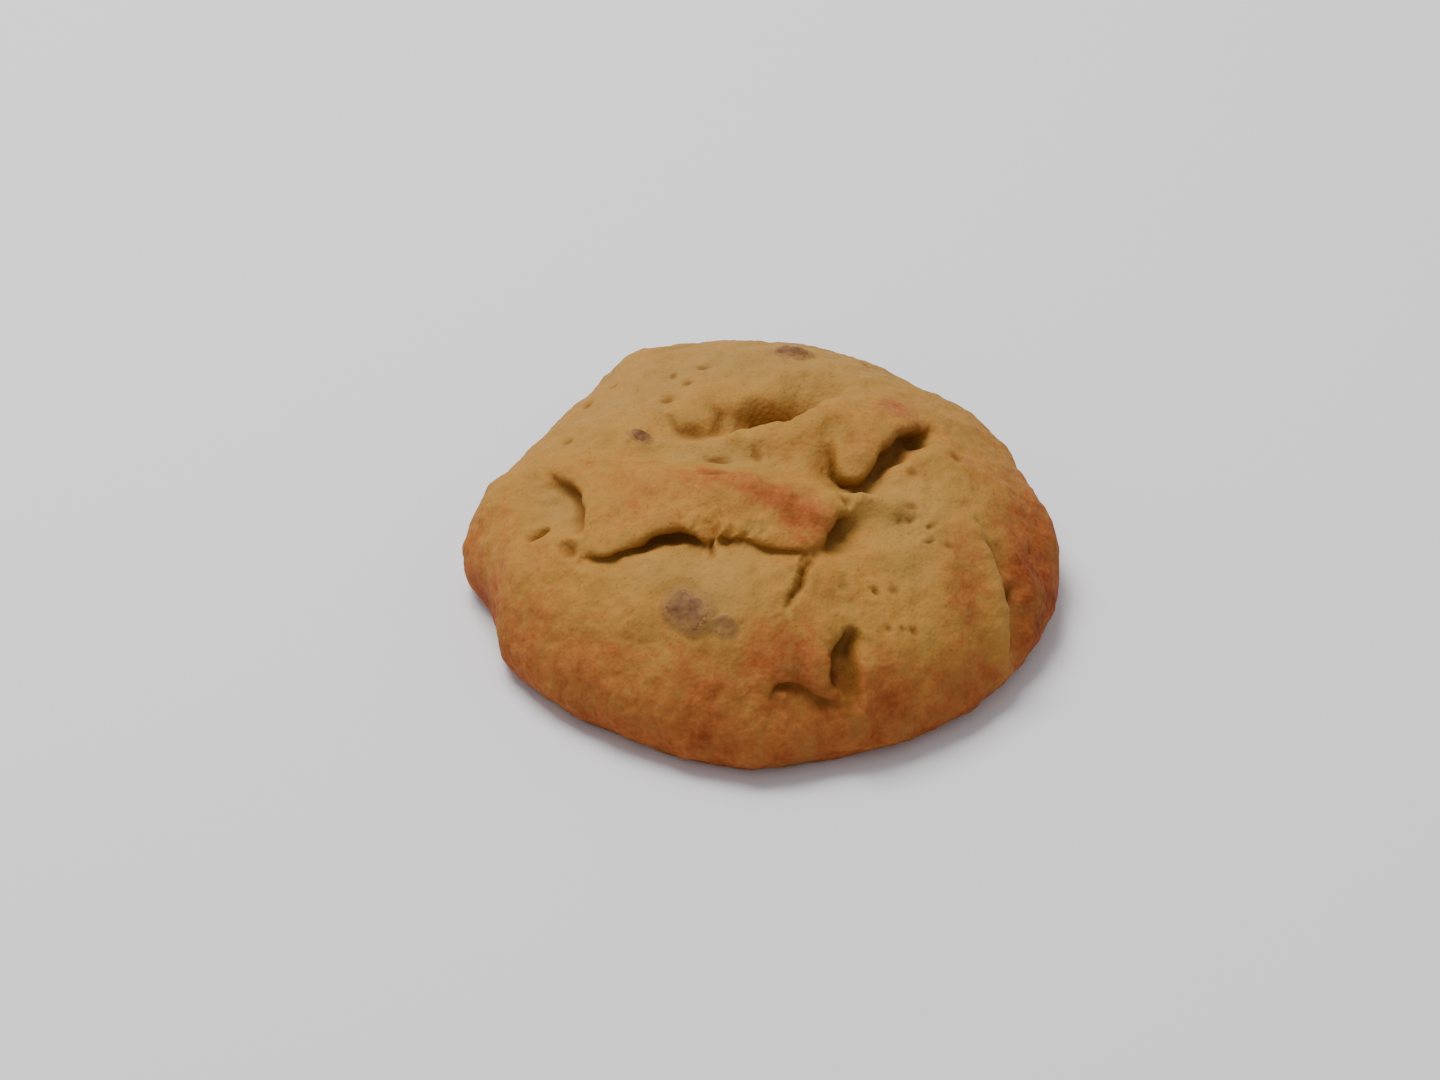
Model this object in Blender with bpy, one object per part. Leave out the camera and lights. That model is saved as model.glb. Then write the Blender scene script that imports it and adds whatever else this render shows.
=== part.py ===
"""Chocolate chip cookie, one baked solid that rests on its flat underside.

The crust is laid out first as a flat map in millimetres: u runs to the right and v to the back, both
measured along the crust from its crown. Lobes, folds, cracks, pits and chips are raised in that map,
and the sheet is then wrapped over a domed body of the cookie's own outline and cut flat underneath.
"""

import math
from dataclasses import dataclass

import bmesh
import bpy
import numpy as np
from mathutils import Vector, noise

MM = 0.001

# Body
HEIGHT = 31.0
EDGE_HEIGHT = 6.0
FOOT_TUCK = 7.0
BELOW_FOOT = 1.0
CROWN_POWER = 2.1
CROWN_SHIFT = (-2.5, 4.5)
EDGE_RADII = (
    56.5, 54.5, 54.5, 52.5, 52.5, 53.0, 52.0, 52.5, 51.0, 47.0, 45.5, 48.0,
    51.5, 48.5, 50.5, 50.5, 50.5, 52.0, 53.5, 53.0, 53.5, 55.0, 56.0, 57.0,
)
MEAN_RADIUS = sum(EDGE_RADII) / len(EDGE_RADII)
SECTION_POINTS = 500
NORMAL_GAP = 0.4

# Relief fades out over these distances before the end of the foot
FOOT_FADE = (1.0, 8.0)

# Sheet
SHEET_STEP = 1.2
FINE_STEP = 0.55
FINE_REACH = (1.8, 5.0)
LONGEST_EDGE = 1.35
SPLIT_ROUNDS = 4
TRIANGLES = 11300

# Section across a fold, by distance to the left of its path
OVERHANG_AT = 0.9
OVERHANG_WIDE = 1.3
UNDERCUT_AT = -1.0
UNDERCUT_WIDE = 1.0
WALL_TOP = 1.4
WALL_FOOT = -1.2
LIP_AT = 2.2
LIP_WIDE = 2.0

# Section across a crack and a pore, as shares of their own depth and width
SHOULDER_RISE = 0.35
SHOULDER_WIDE = 3.0
PORE_RIM_RISE = 0.25
PORE_RIM_WIDE = 2.0

# Section across a chip, as shares of its rise and of its half width
CHIP_EDGE = (1.08, 0.72)
MOAT_AT = 1.12
MOAT_WIDE = 0.16
MOAT_DEPTH = 0.6


@dataclass(frozen=True)
class Lobe:
    """A rounded rise of the dough, or a hollow where the rise is negative."""

    u: float
    v: float
    long: float
    wide: float
    turn: float
    rise: float


@dataclass(frozen=True)
class Fold:
    """A lip of dough over the crust beside it. The lip is on the left of the path (u, v, strength)."""

    path: tuple
    drop: float
    lip: float
    overhang: float
    undercut: float
    valley: float


@dataclass(frozen=True)
class Crack:
    """A narrow groove with soft shoulders along a path (u, v, strength)."""

    path: tuple
    depth: float
    width: float


@dataclass(frozen=True)
class Chip:
    """A chocolate chip standing a little proud of the crust inside a shallow moat."""

    u: float
    v: float
    long: float
    wide: float
    turn: float
    rise: float


@dataclass(frozen=True)
class Pit:
    """A small round pore in the crust."""

    u: float
    v: float
    radius: float
    depth: float


# Broad lobes and hollows of the crust
LOBES = (
    Lobe(u=-8.0, v=-15.5, long=24.0, wide=9.0, turn=-6.0, rise=2.8),
    Lobe(u=7.0, v=-17.5, long=12.0, wide=5.0, turn=-14.0, rise=1.8),
    Lobe(u=-5.0, v=-5.0, long=17.0, wide=4.5, turn=-12.0, rise=-2.8),
    Lobe(u=18.0, v=3.0, long=14.0, wide=8.0, turn=42.0, rise=3.8),
    Lobe(u=4.0, v=-1.0, long=9.0, wide=3.0, turn=6.0, rise=1.0),
    Lobe(u=7.4, v=8.0, long=9.5, wide=4.6, turn=24.0, rise=-5.4),
    Lobe(u=8.0, v=27.0, long=28.0, wide=8.0, turn=0.0, rise=1.2),
    Lobe(u=-7.0, v=8.0, long=5.2, wide=5.4, turn=0.0, rise=1.9),
    Lobe(u=-13.0, v=7.0, long=4.0, wide=7.0, turn=0.0, rise=-0.8),
    Lobe(u=-24.0, v=10.0, long=14.0, wide=12.0, turn=30.0, rise=1.0),
    Lobe(u=-20.0, v=39.5, long=5.0, wide=5.0, turn=0.0, rise=1.2),
    Lobe(u=-31.0, v=33.0, long=7.0, wide=6.0, turn=-45.0, rise=-1.2),
    Lobe(u=57.0, v=3.0, long=7.0, wide=5.0, turn=90.0, rise=1.2),
    Lobe(u=35.0, v=-10.0, long=22.0, wide=10.0, turn=-62.0, rise=2.2),
    Lobe(u=54.0, v=-12.0, long=20.0, wide=6.0, turn=-80.0, rise=-0.6),
    Lobe(u=-6.0, v=-36.0, long=23.0, wide=8.0, turn=-4.0, rise=2.4),
    Lobe(u=-36.5, v=-11.0, long=6.5, wide=4.5, turn=-60.0, rise=-2.4),
    Lobe(u=-46.0, v=-14.0, long=14.0, wide=7.0, turn=80.0, rise=1.2),
    Lobe(u=29.0, v=-44.0, long=12.0, wide=7.0, turn=60.0, rise=1.4),
    Lobe(u=22.0, v=-48.0, long=9.0, wide=2.2, turn=88.0, rise=1.1),
    Lobe(u=20.0, v=-21.5, long=5.5, wide=3.5, turn=50.0, rise=-2.2),
    Lobe(u=23.0, v=-14.8, long=5.8, wide=2.6, turn=4.0, rise=2.0),
    Lobe(u=18.8, v=-20.6, long=3.0, wide=1.6, turn=50.0, rise=-1.0),
    Lobe(u=19.0, v=-49.0, long=2.8, wide=2.2, turn=80.0, rise=-0.3),
    Lobe(u=19.0, v=-5.4, long=2.2, wide=2.0, turn=0.0, rise=1.0),
    Lobe(u=10.0, v=-55.0, long=8.0, wide=3.0, turn=-8.0, rise=-0.7),
    Lobe(u=17.5, v=-47.0, long=5.0, wide=1.8, turn=80.0, rise=-0.6),
    Lobe(u=7.2, v=-52.4, long=1.8, wide=1.0, turn=0.0, rise=0.9),
    Lobe(u=-7.0, v=-29.0, long=5.0, wide=3.0, turn=0.0, rise=-0.8),
)

# Lips of dough lying over their neighbours
FOLDS = (
    Fold(
        path=(
            (-29.4, -24.5, 0.0), (-27.2, -25.3, 0.5), (-24.2, -25.8, 0.65), (-20.8, -25.8, 0.7),
            (-18.2, -25.0, 0.8), (-15.6, -24.3, 1.0), (-12.8, -23.6, 1.1), (-10.0, -23.3, 1.0),
            (-7.6, -24.2, 0.8), (-6.0, -26.0, 0.5), (-4.2, -26.0, 0.3), (-2.6, -25.0, 0.5),
            (1.5, -24.8, 0.5), (5.0, -26.0, 0.5), (9.0, -27.0, 0.45), (12.2, -26.8, 0.45),
            (14.2, -25.4, 0.5), (14.9, -24.0, 0.7), (14.9, -22.4, 0.85), (15.8, -20.4, 0.9),
            (17.4, -18.2, 0.8), (20.2, -16.8, 0.0),
        ),
        drop=3.0, lip=1.0, overhang=1.9, undercut=1.4, valley=1.8,
    ),
    Fold(
        path=(
            (16.5, -3.4, 0.0), (16.5, -5.8, 0.45), (17.1, -7.8, 0.7), (18.3, -9.0, 0.85),
            (19.7, -9.2, 0.9), (20.9, -8.3, 0.9), (21.6, -6.0, 1.0), (23.0, -2.6, 1.05),
            (25.5, 0.4, 1.1), (28.2, 3.4, 1.1), (30.6, 6.4, 1.0), (33.0, 9.2, 0.6),
            (34.6, 11.0, 0.0),
        ),
        drop=3.0, lip=0.5, overhang=1.4, undercut=1.0, valley=2.4,
    ),
    Fold(
        path=(
            (21.9, 18.0, 0.0), (19.0, 14.0, 0.4), (16.2, 9.3, 0.7), (13.6, 4.6, 0.9),
            (11.2, 0.9, 1.0), (8.5, -0.2, 1.1), (5.5, 0.1, 1.1), (3.0, 0.4, 1.0),
            (1.0, 1.0, 0.7), (-0.5, 2.0, 0.3), (-1.8, 3.0, 0.0),
        ),
        drop=4.2, lip=1.3, overhang=1.9, undercut=1.2, valley=5.0,
    ),
    Fold(
        path=(
            (-36.5, 0.6, 0.0), (-35.2, -2.0, 0.4), (-33.5, -4.6, 0.65), (-31.6, -7.6, 0.8),
            (-29.4, -11.6, 1.0), (-28.2, -15.4, 1.1), (-28.2, -18.6, 0.8), (-29.3, -21.4, 0.0),
        ),
        drop=2.2, lip=0.4, overhang=0.9, undercut=0.4, valley=3.8,
    ),
    Fold(
        path=(
            (-15.2, 12.5, 0.0), (-14.3, 9.6, 0.4), (-12.4, 7.0, 0.65), (-10.2, 4.6, 0.75),
            (-8.0, 3.0, 0.8), (-5.8, 2.6, 0.7), (-4.0, 3.8, 0.6), (-3.0, 6.6, 0.4),
            (-2.8, 9.4, 0.2), (-2.6, 12.0, 0.0),
        ),
        drop=1.3, lip=0.4, overhang=0.3, undercut=0.2, valley=1.8,
    ),
    Fold(
        path=(
            (3.3, -52.9, 0.0), (4.4, -51.8, 0.6), (5.9, -50.1, 0.9), (8.0, -49.6, 1.0),
            (10.2, -50.4, 0.9), (12.4, -51.2, 0.9), (14.6, -51.6, 0.9), (16.6, -51.7, 0.8),
            (18.2, -50.8, 0.0),
        ),
        drop=1.2, lip=0.6, overhang=1.0, undercut=0.5, valley=2.0,
    ),
    Fold(
        path=(
            (18.0, -52.0, 0.0), (17.4, -50.4, 0.6), (16.2, -49.0, 1.0), (15.2, -47.1, 1.1),
            (15.6, -45.2, 1.1), (16.8, -43.2, 1.1), (17.9, -41.4, 1.0), (18.9, -39.6, 0.0),
        ),
        drop=1.5, lip=0.7, overhang=1.0, undercut=0.5, valley=4.0,
    ),
    Fold(
        path=(
            (21.4, -38.8, 0.0), (21.0, -41.0, 0.8), (20.7, -43.5, 1.0), (20.7, -46.0, 1.0),
            (20.8, -48.5, 0.9), (21.0, -51.0, 0.7), (21.4, -53.5, 0.0),
        ),
        drop=0.9, lip=0.3, overhang=0.3, undercut=0.0, valley=2.0,
    ),
    Fold(
        path=(
            (50.2, -34.7, 0.0), (49.2, -31.5, 0.5), (47.4, -28.5, 0.8), (45.4, -24.7, 1.2),
            (44.0, -21.7, 0.9), (42.6, -19.0, 0.7), (40.8, -16.0, 0.5), (38.4, -11.0, 0.0),
        ),
        drop=3.0, lip=1.8, overhang=1.0, undercut=0.7, valley=4.5,
    ),
)

# Narrow cracks
CRACKS = (
    Crack(
        path=(
            (13.6, -27.8, 0.4), (11.8, -29.6, 0.9), (10.7, -32.2, 1.0), (10.3, -34.7, 0.9),
            (9.0, -36.8, 0.8), (7.5, -39.5, 0.0),
        ),
        depth=1.4, width=0.8,
    ),
    Crack(
        path=((-41.5, -17.5, 0.0), (-40.2, -17.2, 1.0), (-37.8, -16.2, 1.0), (-36.5, -15.6, 0.0)),
        depth=1.2, width=0.9,
    ),
    Crack(
        path=((-33.6, -20.4, 0.2), (-32.2, -22.2, 0.9), (-30.8, -23.8, 0.9), (-30.2, -25.6, 0.0)),
        depth=1.3, width=1.6,
    ),
    Crack(
        path=((-8.0, -12.3, 0.0), (-5.0, -12.9, 0.8), (-2.0, -12.6, 0.8), (1.0, -12.0, 0.0)),
        depth=0.6, width=0.8,
    ),
    Crack(
        path=((-6.6, -4.6, 0.0), (-4.4, -4.8, 0.9), (-2.0, -5.0, 1.0), (0.6, -5.0, 0.0)),
        depth=0.5, width=0.8,
    ),
    Crack(
        path=((2.2, -2.4, 0.0), (3.3, -3.8, 0.8), (4.6, -5.4, 0.8), (5.6, -6.6, 0.0)),
        depth=0.5, width=0.8,
    ),
    Crack(
        path=((-7.2, 23.7, 0.0), (-5.6, 23.5, 1.0), (-3.8, 23.0, 0.0)),
        depth=0.5, width=0.8,
    ),
    Crack(
        path=((30.6, -18.0, 0.0), (31.6, -17.7, 1.0), (32.6, -17.3, 0.6), (33.4, -16.9, 0.0)),
        depth=0.35, width=0.4,
    ),
    Crack(
        path=((30.8, -20.4, 0.0), (32.0, -20.1, 1.0), (33.0, -19.7, 0.6), (33.8, -19.4, 0.0)),
        depth=0.45, width=0.4,
    ),
    Crack(
        path=(
            (-3.9, -21.5, 0.0), (-4.0, -23.5, 0.6), (-4.2, -25.5, 0.9), (-4.4, -27.5, 0.8),
            (-4.8, -30.0, 0.0),
        ),
        depth=0.9, width=0.7,
    ),
    Crack(
        path=((17.0, -29.0, 0.0), (18.2, -32.0, 0.7), (18.4, -35.0, 0.0)),
        depth=0.6, width=0.8,
    ),
    Crack(
        path=(
            (15.8, -3.6, 0.0), (15.7, -5.8, 0.8), (16.3, -7.8, 1.0), (17.6, -9.2, 0.7),
            (19.2, -9.8, 0.0),
        ),
        depth=1.4, width=0.9,
    ),
    Crack(
        path=(
            (22.8, -8.0, 0.0), (23.9, -5.6, 0.7), (25.6, -2.8, 1.0), (27.4, -0.4, 1.0),
            (29.4, 2.2, 0.8), (31.0, 4.6, 0.8), (32.4, 6.6, 0.0),
        ),
        depth=0.6, width=1.4,
    ),
    Crack(
        path=(
            (0.6, 8.0, 0.0), (3.0, 8.8, 0.8), (5.8, 9.4, 1.0), (8.8, 10.2, 1.0), (11.4, 11.6, 0.9),
            (14.4, 14.4, 0.0),
        ),
        depth=2.0, width=1.9,
    ),
    Crack(
        path=(
            (-36.6, -3.2, 0.0), (-34.9, -5.2, 0.7), (-33.4, -8.2, 1.0), (-31.4, -11.8, 1.0),
            (-30.0, -15.6, 1.0), (-29.9, -18.6, 0.8), (-30.8, -21.4, 0.0),
        ),
        depth=0.5, width=1.5,
    ),
    Crack(
        path=(
            (19.4, -41.0, 0.0), (19.4, -43.5, 0.5), (19.1, -46.5, 0.8), (19.1, -49.5, 1.0),
            (19.2, -52.0, 1.0), (19.2, -54.0, 0.7), (19.0, -56.5, 0.0),
        ),
        depth=0.3, width=1.5,
    ),
)

# Pores
PITS = (
    Pit(u=28.5, v=-14.5, radius=1.0, depth=1.1),
    Pit(u=28.4, v=-16.9, radius=0.7, depth=0.8),
    Pit(u=27.0, v=-17.2, radius=0.6, depth=0.8),
    Pit(u=28.5, v=-6.6, radius=1.0, depth=0.4),
    Pit(u=36.6, v=1.3, radius=1.4, depth=0.4),
    Pit(u=35.7, v=-20.1, radius=0.8, depth=0.4),
    Pit(u=24.0, v=-32.2, radius=0.9, depth=1.2),
    Pit(u=26.7, v=-31.3, radius=0.8, depth=0.4),
    Pit(u=26.4, v=-38.6, radius=0.8, depth=0.5),
    Pit(u=29.0, v=-38.1, radius=0.6, depth=0.5),
    Pit(u=30.8, v=-37.4, radius=0.8, depth=0.7),
    Pit(u=31.2, v=4.4, radius=1.4, depth=0.9),
    Pit(u=47.9, v=-22.4, radius=1.4, depth=2.2),
    Pit(u=45.0, v=-20.0, radius=0.8, depth=0.6),
    Pit(u=51.4, v=-10.0, radius=0.9, depth=0.6),
    Pit(u=17.8, v=-15.4, radius=1.0, depth=1.4),
    Pit(u=-8.7, v=17.5, radius=1.1, depth=0.6),
    Pit(u=-11.6, v=21.2, radius=0.9, depth=0.3),
    Pit(u=-13.6, v=14.0, radius=1.4, depth=0.7),
    Pit(u=-33.2, v=5.2, radius=1.1, depth=0.6),
    Pit(u=-31.9, v=24.2, radius=1.3, depth=0.7),
    Pit(u=-25.7, v=26.7, radius=1.2, depth=0.7),
    Pit(u=23.9, v=33.8, radius=1.1, depth=0.6),
)

# Chocolate chips that show, nearly flush with the crust
CHIPS = (
    Chip(u=-9.0, v=-39.2, long=4.9, wide=3.8, turn=-8.0, rise=0.5),
    Chip(u=-2.8, v=-42.0, long=2.7, wide=1.7, turn=-12.0, rise=0.3),
    Chip(u=10.0, v=29.0, long=3.8, wide=2.6, turn=0.0, rise=0.5),
    Chip(u=-17.9, v=2.1, long=2.8, wide=1.2, turn=-22.0, rise=0.3),
)

# Unevenness of the dough
SWELL = 0.7
SWELL_SIZE = 13.0
KNOB = 0.6
KNOB_SIZE = 5.5
KNOB_PLACE = Vector((7.0, 3.0, 5.0))
GRAIN = 0.36
GRAIN_SIZE = 2.4
GRAIN_PLACE = Vector((2.0, 9.0, 4.0))
WANDER = 1.1
WANDER_SIZE = 4.5
WANDER_PLACE = Vector((31.0, 17.0, 5.0))


def smooth_step(low, high, value):
    """Rise from 0 at low to 1 at high."""
    share = np.clip((value - low) / (high - low), 0.0, 1.0)
    return share * share * (3.0 - 2.0 * share)


def bump(value, middle, width):
    """Rise to 1 at the middle and fall off over the width."""
    return np.exp(-((value - middle) / width) ** 2)


def body_section():
    """Table of the body's section: distance along the crust, share of the edge radius, height."""
    turn = np.linspace(0.0, math.pi / 2, SECTION_POINTS)
    power = 2.0 / CROWN_POWER
    top_share = np.sin(turn) ** power
    top_height = EDGE_HEIGHT + (HEIGHT - EDGE_HEIGHT) * np.cos(turn) ** power
    low_share = 1.0 - FOOT_TUCK / MEAN_RADIUS * (1.0 - np.cos(turn[1:]))
    low_height = EDGE_HEIGHT - (EDGE_HEIGHT + BELOW_FOOT) * np.sin(turn[1:])
    share = np.concatenate((top_share, low_share))
    height = np.concatenate((top_height, low_height))
    step = np.hypot(np.diff(share) * MEAN_RADIUS, np.diff(height))
    return np.concatenate(((0.0,), np.cumsum(step))), share, height


SECTION_REACH, SECTION_SHARE, SECTION_HEIGHT = body_section()
SHEET_REACH = float(SECTION_REACH[-1])


def edge_radius(bearing):
    """Radius of the cookie's edge at a bearing, a smooth curve through EDGE_RADII."""
    count = len(EDGE_RADII)
    radii = np.array(EDGE_RADII)
    place = (bearing / (2.0 * math.pi) * count) % count
    index = np.floor(place).astype(int)
    part = place - index
    before, first, second, after = (radii[(index + k) % count] for k in (-1, 0, 1, 2))
    slope = second - before
    bend = 2.0 * before - 5.0 * first + 4.0 * second - after
    twist = 3.0 * (first - second) + after - before
    return first + 0.5 * part * (slope + part * (bend + part * twist))


def body_point(u, v):
    """Points of the smooth body at places of the map, in millimetres."""
    reach = np.hypot(u, v)
    bearing = np.arctan2(v, u)
    radius = np.interp(reach, SECTION_REACH, SECTION_SHARE) * edge_radius(bearing)
    height = np.interp(reach, SECTION_REACH, SECTION_HEIGHT)
    crown = np.clip((height - EDGE_HEIGHT) / (HEIGHT - EDGE_HEIGHT), 0.0, 1.0)
    x = radius * np.cos(bearing) + CROWN_SHIFT[0] * crown
    y = radius * np.sin(bearing) + CROWN_SHIFT[1] * crown
    return np.stack((x, y, height), axis=-1)


def body_normal(u, v):
    """Outward directions of the smooth body at places of the map."""
    across = body_point(u + NORMAL_GAP, v) - body_point(u - NORMAL_GAP, v)
    along = body_point(u, v + NORMAL_GAP) - body_point(u, v - NORMAL_GAP)
    normal = np.cross(across, along)
    return normal / np.linalg.norm(normal, axis=-1, keepdims=True)


def wrap(u, v, lift):
    """Points of the crust: places of the map raised by lift from the smooth body."""
    return body_point(u, v) + body_normal(u, v) * lift[:, None]


def smooth_path(path, parts=8):
    """Points of a smooth curve through the path's own points, with their strengths."""
    points = np.array(path, dtype=float)
    padded = np.vstack((2 * points[0] - points[1], points, 2 * points[-1] - points[-2]))
    share = np.arange(parts)[:, None] / parts
    spans = []
    for index in range(len(points) - 1):
        before, first, second, after = padded[index:index + 4]
        slope = second - before
        bend = 2.0 * before - 5.0 * first + 4.0 * second - after
        twist = 3.0 * (first - second) + after - before
        spans.append(first + 0.5 * share * (slope + share * (bend + share * twist)))
    spans.append(points[-1:])
    return np.vstack(spans)


def beside_path(u, v, path):
    """Signed distance from a path (left is positive), direction away to the left, and strength."""
    curve = smooth_path(path)
    best = np.full(u.shape, np.inf)
    side = np.ones(u.shape)
    strength = np.zeros(u.shape)
    left_u = np.zeros(u.shape)
    left_v = np.zeros(u.shape)
    for start, end in zip(curve[:-1], curve[1:]):
        run = end[:2] - start[:2]
        length = float(np.hypot(*run))
        share = ((u - start[0]) * run[0] + (v - start[1]) * run[1]) / length ** 2
        share = np.clip(share, 0.0, 1.0)
        off_u = u - start[0] - share * run[0]
        off_v = v - start[1] - share * run[1]
        away = np.hypot(off_u, off_v)
        near = away < best
        best = np.where(near, away, best)
        side = np.where(near, np.where(run[0] * off_v - run[1] * off_u >= 0.0, 1.0, -1.0), side)
        strength = np.where(near, start[2] + share * (end[2] - start[2]), strength)
        left_u = np.where(near, -run[1] / length, left_u)
        left_v = np.where(near, run[0] / length, left_v)
    return best * side, left_u, left_v, np.maximum(strength, 0.0)


def along_and_across(u, v, item):
    """Distances from the middle of a lobe or chip, along and across its own length."""
    turn = math.radians(item.turn)
    along = (u - item.u) * math.cos(turn) + (v - item.v) * math.sin(turn)
    across = (v - item.v) * math.cos(turn) - (u - item.u) * math.sin(turn)
    return along, across


def lobe_relief(u, v, lobe):
    """Height of one lobe."""
    along, across = along_and_across(u, v, lobe)
    return lobe.rise * bump(along, 0.0, lobe.long) * bump(across, 0.0, lobe.wide)


def fold_relief(u, v, fold):
    """Shift over the map and height that one fold gives the sheet."""
    away, left_u, left_v, strength = beside_path(u, v, fold.path)
    lean = fold.undercut * bump(away, UNDERCUT_AT, UNDERCUT_WIDE)
    lean = lean - fold.overhang * bump(away, OVERHANG_AT, OVERHANG_WIDE)
    beyond = np.maximum(WALL_FOOT - away, 0.0)
    fall = smooth_step(WALL_TOP, WALL_FOOT, away) * bump(beyond, 0.0, fold.valley)
    rise = fold.lip * bump(away, LIP_AT, LIP_WIDE) - fold.drop * fall
    return lean * left_u * strength, lean * left_v * strength, rise * strength


def crack_relief(u, v, crack):
    """Depth of one crack."""
    away, _, _, strength = beside_path(u, v, crack.path)
    groove = bump(away, 0.0, crack.width)
    shoulder = SHOULDER_RISE * bump(away, 0.0, SHOULDER_WIDE * crack.width)
    return crack.depth * strength * (shoulder - (1.0 + SHOULDER_RISE) * groove)


def pit_relief(u, v, pit):
    """Depth of one pore, with a slight rim."""
    away = np.hypot(u - pit.u, v - pit.v) / pit.radius
    rim = PORE_RIM_RISE * bump(away, 0.0, PORE_RIM_WIDE)
    return pit.depth * (rim - (1.0 + PORE_RIM_RISE) * bump(away, 0.0, 1.0))


def chip_relief(u, v, chip):
    """Height of one chip and of the moat around it."""
    along, across = along_and_across(u, v, chip)
    away = np.hypot(along / chip.long, across / chip.wide)
    return chip.rise * (smooth_step(*CHIP_EDGE, away) - MOAT_DEPTH * bump(away, MOAT_AT, MOAT_WIDE))


def dough_unevenness(points):
    """Uneven height of the dough at points of the smooth body."""
    swell = [noise.noise(Vector(p) / SWELL_SIZE) for p in points]
    knob = [noise.noise(Vector(p) / KNOB_SIZE + KNOB_PLACE) for p in points]
    grain = [noise.noise(Vector(p) / GRAIN_SIZE + GRAIN_PLACE) for p in points]
    return SWELL * np.array(swell) + KNOB * np.array(knob) + GRAIN * np.array(grain)


def wander(u, v):
    """Small uneven shifts of places on the map, so that folds and cracks run unevenly."""
    spots = [Vector((a / WANDER_SIZE, b / WANDER_SIZE, 0.0)) for a, b in zip(u, v)]
    along = np.array([noise.noise(spot) for spot in spots])
    across = np.array([noise.noise(spot + WANDER_PLACE) for spot in spots])
    return u + WANDER * along, v + WANDER * across


def crust_relief(u, v):
    """Shift over the map and height of the whole crust at places of the flat map."""
    real_u, real_v = u, v
    u, v = wander(u, v)
    shift_u = np.zeros(u.shape)
    shift_v = np.zeros(u.shape)
    lift = np.zeros(u.shape)
    for lobe in LOBES:
        lift += lobe_relief(u, v, lobe)
    for fold in FOLDS:
        lean_u, lean_v, rise = fold_relief(u, v, fold)
        shift_u += lean_u
        shift_v += lean_v
        lift += rise
    for crack in CRACKS:
        lift += crack_relief(u, v, crack)
    for pit in PITS:
        lift += pit_relief(u, v, pit)
    for chip in CHIPS:
        lift += chip_relief(u, v, chip)
    lift += dough_unevenness(body_point(real_u, real_v))
    above_foot = smooth_step(*FOOT_FADE, SHEET_REACH - np.hypot(real_u, real_v))
    return shift_u, shift_v, lift * above_foot


def sheet(step):
    """Flat round sheet of the map: rings of points around the crown and the triangles between them."""
    rings = math.ceil(SHEET_REACH / step)
    points = [(0.0, 0.0)]
    for ring in range(1, rings + 1):
        reach = SHEET_REACH * ring / rings
        for spot in range(6 * ring):
            bearing = math.tau * spot / (6 * ring)
            points.append((reach * math.cos(bearing), reach * math.sin(bearing)))
    faces = []
    for ring in range(rings):
        inner = 1 + 3 * ring * (ring - 1) if ring else 0
        outer = 1 + 3 * ring * (ring + 1)
        inner_count = max(6 * ring, 1)
        outer_count = 6 * (ring + 1)
        for sector in range(6):
            for spot in range(ring + 1):
                near = inner + (sector * ring + spot) % inner_count
                far = outer + (sector * (ring + 1) + spot) % outer_count
                far_next = outer + (sector * (ring + 1) + spot + 1) % outer_count
                faces.append((near, far, far_next))
                if spot < ring:
                    near_next = inner + (sector * ring + spot + 1) % inner_count
                    faces.append((near, far_next, near_next))
    return points, faces


def refine(body, spacing):
    """Split the sheet's edges until each is no longer than the spacing wanted at its middle."""
    for _ in range(SPLIT_ROUNDS):
        body.edges.ensure_lookup_table()
        ends = np.array([[*edge.verts[0].co.xy, *edge.verts[1].co.xy] for edge in body.edges])
        length = np.hypot(ends[:, 0] - ends[:, 2], ends[:, 1] - ends[:, 3])
        middle_u = (ends[:, 0] + ends[:, 2]) / 2
        middle_v = (ends[:, 1] + ends[:, 3]) / 2
        long = np.nonzero(length > LONGEST_EDGE * spacing(middle_u, middle_v))[0]
        if not len(long):
            break
        bmesh.ops.subdivide_edges(body, edges=[body.edges[i] for i in long], cuts=1)
        bmesh.ops.triangulate(body, faces=[face for face in body.faces if len(face.verts) > 3])


def spacing_wanted(u, v):
    """Spacing of the sheet's points: fine beside folds and cracks, coarse elsewhere."""
    nearest = np.full(u.shape, np.inf)
    for item in (*FOLDS, *CRACKS):
        away, _, _, _ = beside_path(u, v, item.path)
        nearest = np.minimum(nearest, np.abs(away))
    return FINE_STEP + (SHEET_STEP - FINE_STEP) * smooth_step(*FINE_REACH, nearest)


def crust_mesh():
    """Closed mesh of the crust, wrapped over the body and open only below the foot."""
    points, faces = sheet(SHEET_STEP)
    mesh = bpy.data.meshes.new("sheet")
    mesh.from_pydata([(u, v, 0.0) for u, v in points], [], faces)
    body = bmesh.new()
    body.from_mesh(mesh)
    refine(body, spacing_wanted)
    flat = np.array([vert.co.xy for vert in body.verts])
    u, v = flat[:, 0], flat[:, 1]
    shift_u, shift_v, lift = crust_relief(u, v)
    crust = wrap(u + shift_u, v + shift_v, lift) * MM
    for vert, point in zip(body.verts, crust):
        vert.co = point
    body.to_mesh(mesh)
    body.free()
    return mesh


def thinned(mesh, count):
    """The mesh with about the given number of triangles, most of them kept where it bends."""
    holder = bpy.data.objects.new("thinned", mesh)
    bpy.context.scene.collection.objects.link(holder)
    thin = holder.modifiers.new("thin", "DECIMATE")
    thin.ratio = count / len(mesh.polygons)
    graph = bpy.context.evaluated_depsgraph_get()
    result = bpy.data.meshes.new_from_object(holder.evaluated_get(graph))
    bpy.data.objects.remove(holder)
    return result


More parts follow.
